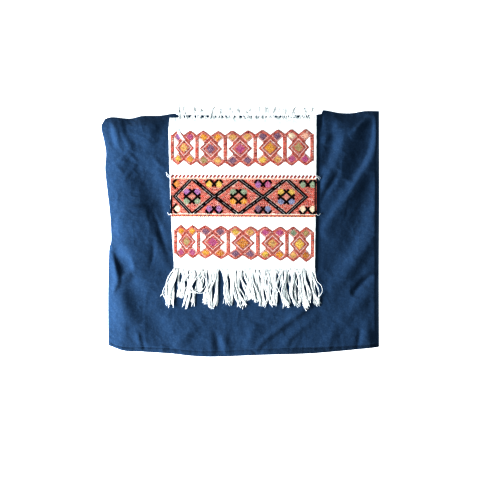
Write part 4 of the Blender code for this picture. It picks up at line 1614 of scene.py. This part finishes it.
class PILLOWCASE_OT_stage(bpy.types.Operator):
    """Put the camera straight above, a soft light on the left and a pale floor below"""

    bl_idname = "pillowcase.stage"
    bl_label = "Stage"

    def execute(self, context):
        stage = context.scene.pillowcase_stage
        view = context.scene.view_settings
        view.view_transform = "Standard"
        view.exposure, view.gamma = DISPLAY_EXPOSURE, DISPLAY_GAMMA
        self.add_camera(context.scene, stage)
        self.add_floor(context.scene, stage)
        self.add_light(context.scene, stage)
        self.add_world(context.scene, stage)
        return {"FINISHED"}

    def add_camera(self, scene, stage):
        data = bpy.data.cameras.new("camera")
        data.sensor_width = SENSOR
        data.lens = SENSOR * stage.camera_height / stage.view_width
        camera = bpy.data.objects.new("camera", data)
        camera.location = (VIEW_CENTRE[0] * MM, VIEW_CENTRE[1] * MM, stage.camera_height)
        scene.collection.objects.link(camera)
        scene.camera = camera

    def add_floor(self, scene, stage):
        bm = bmesh.new()
        bmesh.ops.create_grid(bm, x_segments=1, y_segments=1, size=FLOOR_HALF_SIDE)
        bmesh.ops.translate(bm, verts=bm.verts[:], vec=(0, 0, -FLOOR_DROP))
        mesh = as_mesh(bm, "floor")
        mesh.materials.append(floor_paper(stage.floor[:]))
        floor = bpy.data.objects.new("floor", mesh)
        scene.collection.objects.link(floor)

    def add_light(self, scene, stage):
        data = bpy.data.lights.new("key_light", "AREA")
        data.size = KEY_SIZE
        data.energy = stage.key_power
        light = bpy.data.objects.new("key_light", data)
        light.location = KEY_PLACE
        light.rotation_euler = Vector(KEY_PLACE).to_track_quat("Z", "Y").to_euler()
        light.visible_camera = False
        scene.collection.objects.link(light)

    def add_world(self, scene, stage):
        """Even light all around, behind which the camera sees plain white."""
        world = bpy.data.worlds.new("studio")
        world.use_nodes = True
        studio = Nodes(world.node_tree)
        seen = studio.node("ShaderNodeLightPath", {}, {}, "Is Camera Ray")
        background = world.node_tree.nodes["Background"]
        studio.put(background.inputs["Color"], studio.mix(seen, stage.fill_tint[:], (1, 1, 1)))
        studio.put(background.inputs["Strength"], studio.spread(seen, 0, 1, stage.fill, 1.0))
        scene.world = world


class PILLOWCASE_PT_panel(bpy.types.Panel):
    """Sizes and colours, and a button for each piece"""

    bl_label = "Pillowcase"
    bl_space_type = "VIEW_3D"
    bl_region_type = "UI"
    bl_category = "Pillowcase"

    def draw(self, context):
        for operator in OPERATORS:
            self.layout.operator(operator.bl_idname)
        for name, group in SETTINGS.items():
            box = self.layout.box()
            box.label(text=group.__doc__)
            for setting in group.__annotations__:
                box.prop(getattr(context.scene, name), setting)


OPERATORS = (
    PILLOWCASE_OT_stage,
    PILLOWCASE_OT_back,
    PILLOWCASE_OT_front,
    PILLOWCASE_OT_panel,
    PILLOWCASE_OT_brocade,
    PILLOWCASE_OT_fringes,
    PILLOWCASE_OT_declare,
)


def register():
    for group in SETTINGS.values():
        bpy.utils.register_class(group)
    for operator in (*OPERATORS, PILLOWCASE_PT_panel):
        bpy.utils.register_class(operator)
    for name, group in SETTINGS.items():
        setattr(bpy.types.Scene, name, PointerProperty(type=group))


def unregister():
    for name in SETTINGS:
        delattr(bpy.types.Scene, name)
    for made in (PILLOWCASE_PT_panel, *OPERATORS, *SETTINGS.values()):
        bpy.utils.unregister_class(made)


def main():
    register()
    for operator in OPERATORS:
        name = operator.bl_idname.split(".")[1]
        done = getattr(bpy.ops.pillowcase, name)()
        if "FINISHED" not in done:
            raise RuntimeError(f"{name} didn't finish: {done}")
    bpy.context.view_layer.update()


if __name__ == "__main__":
    main()
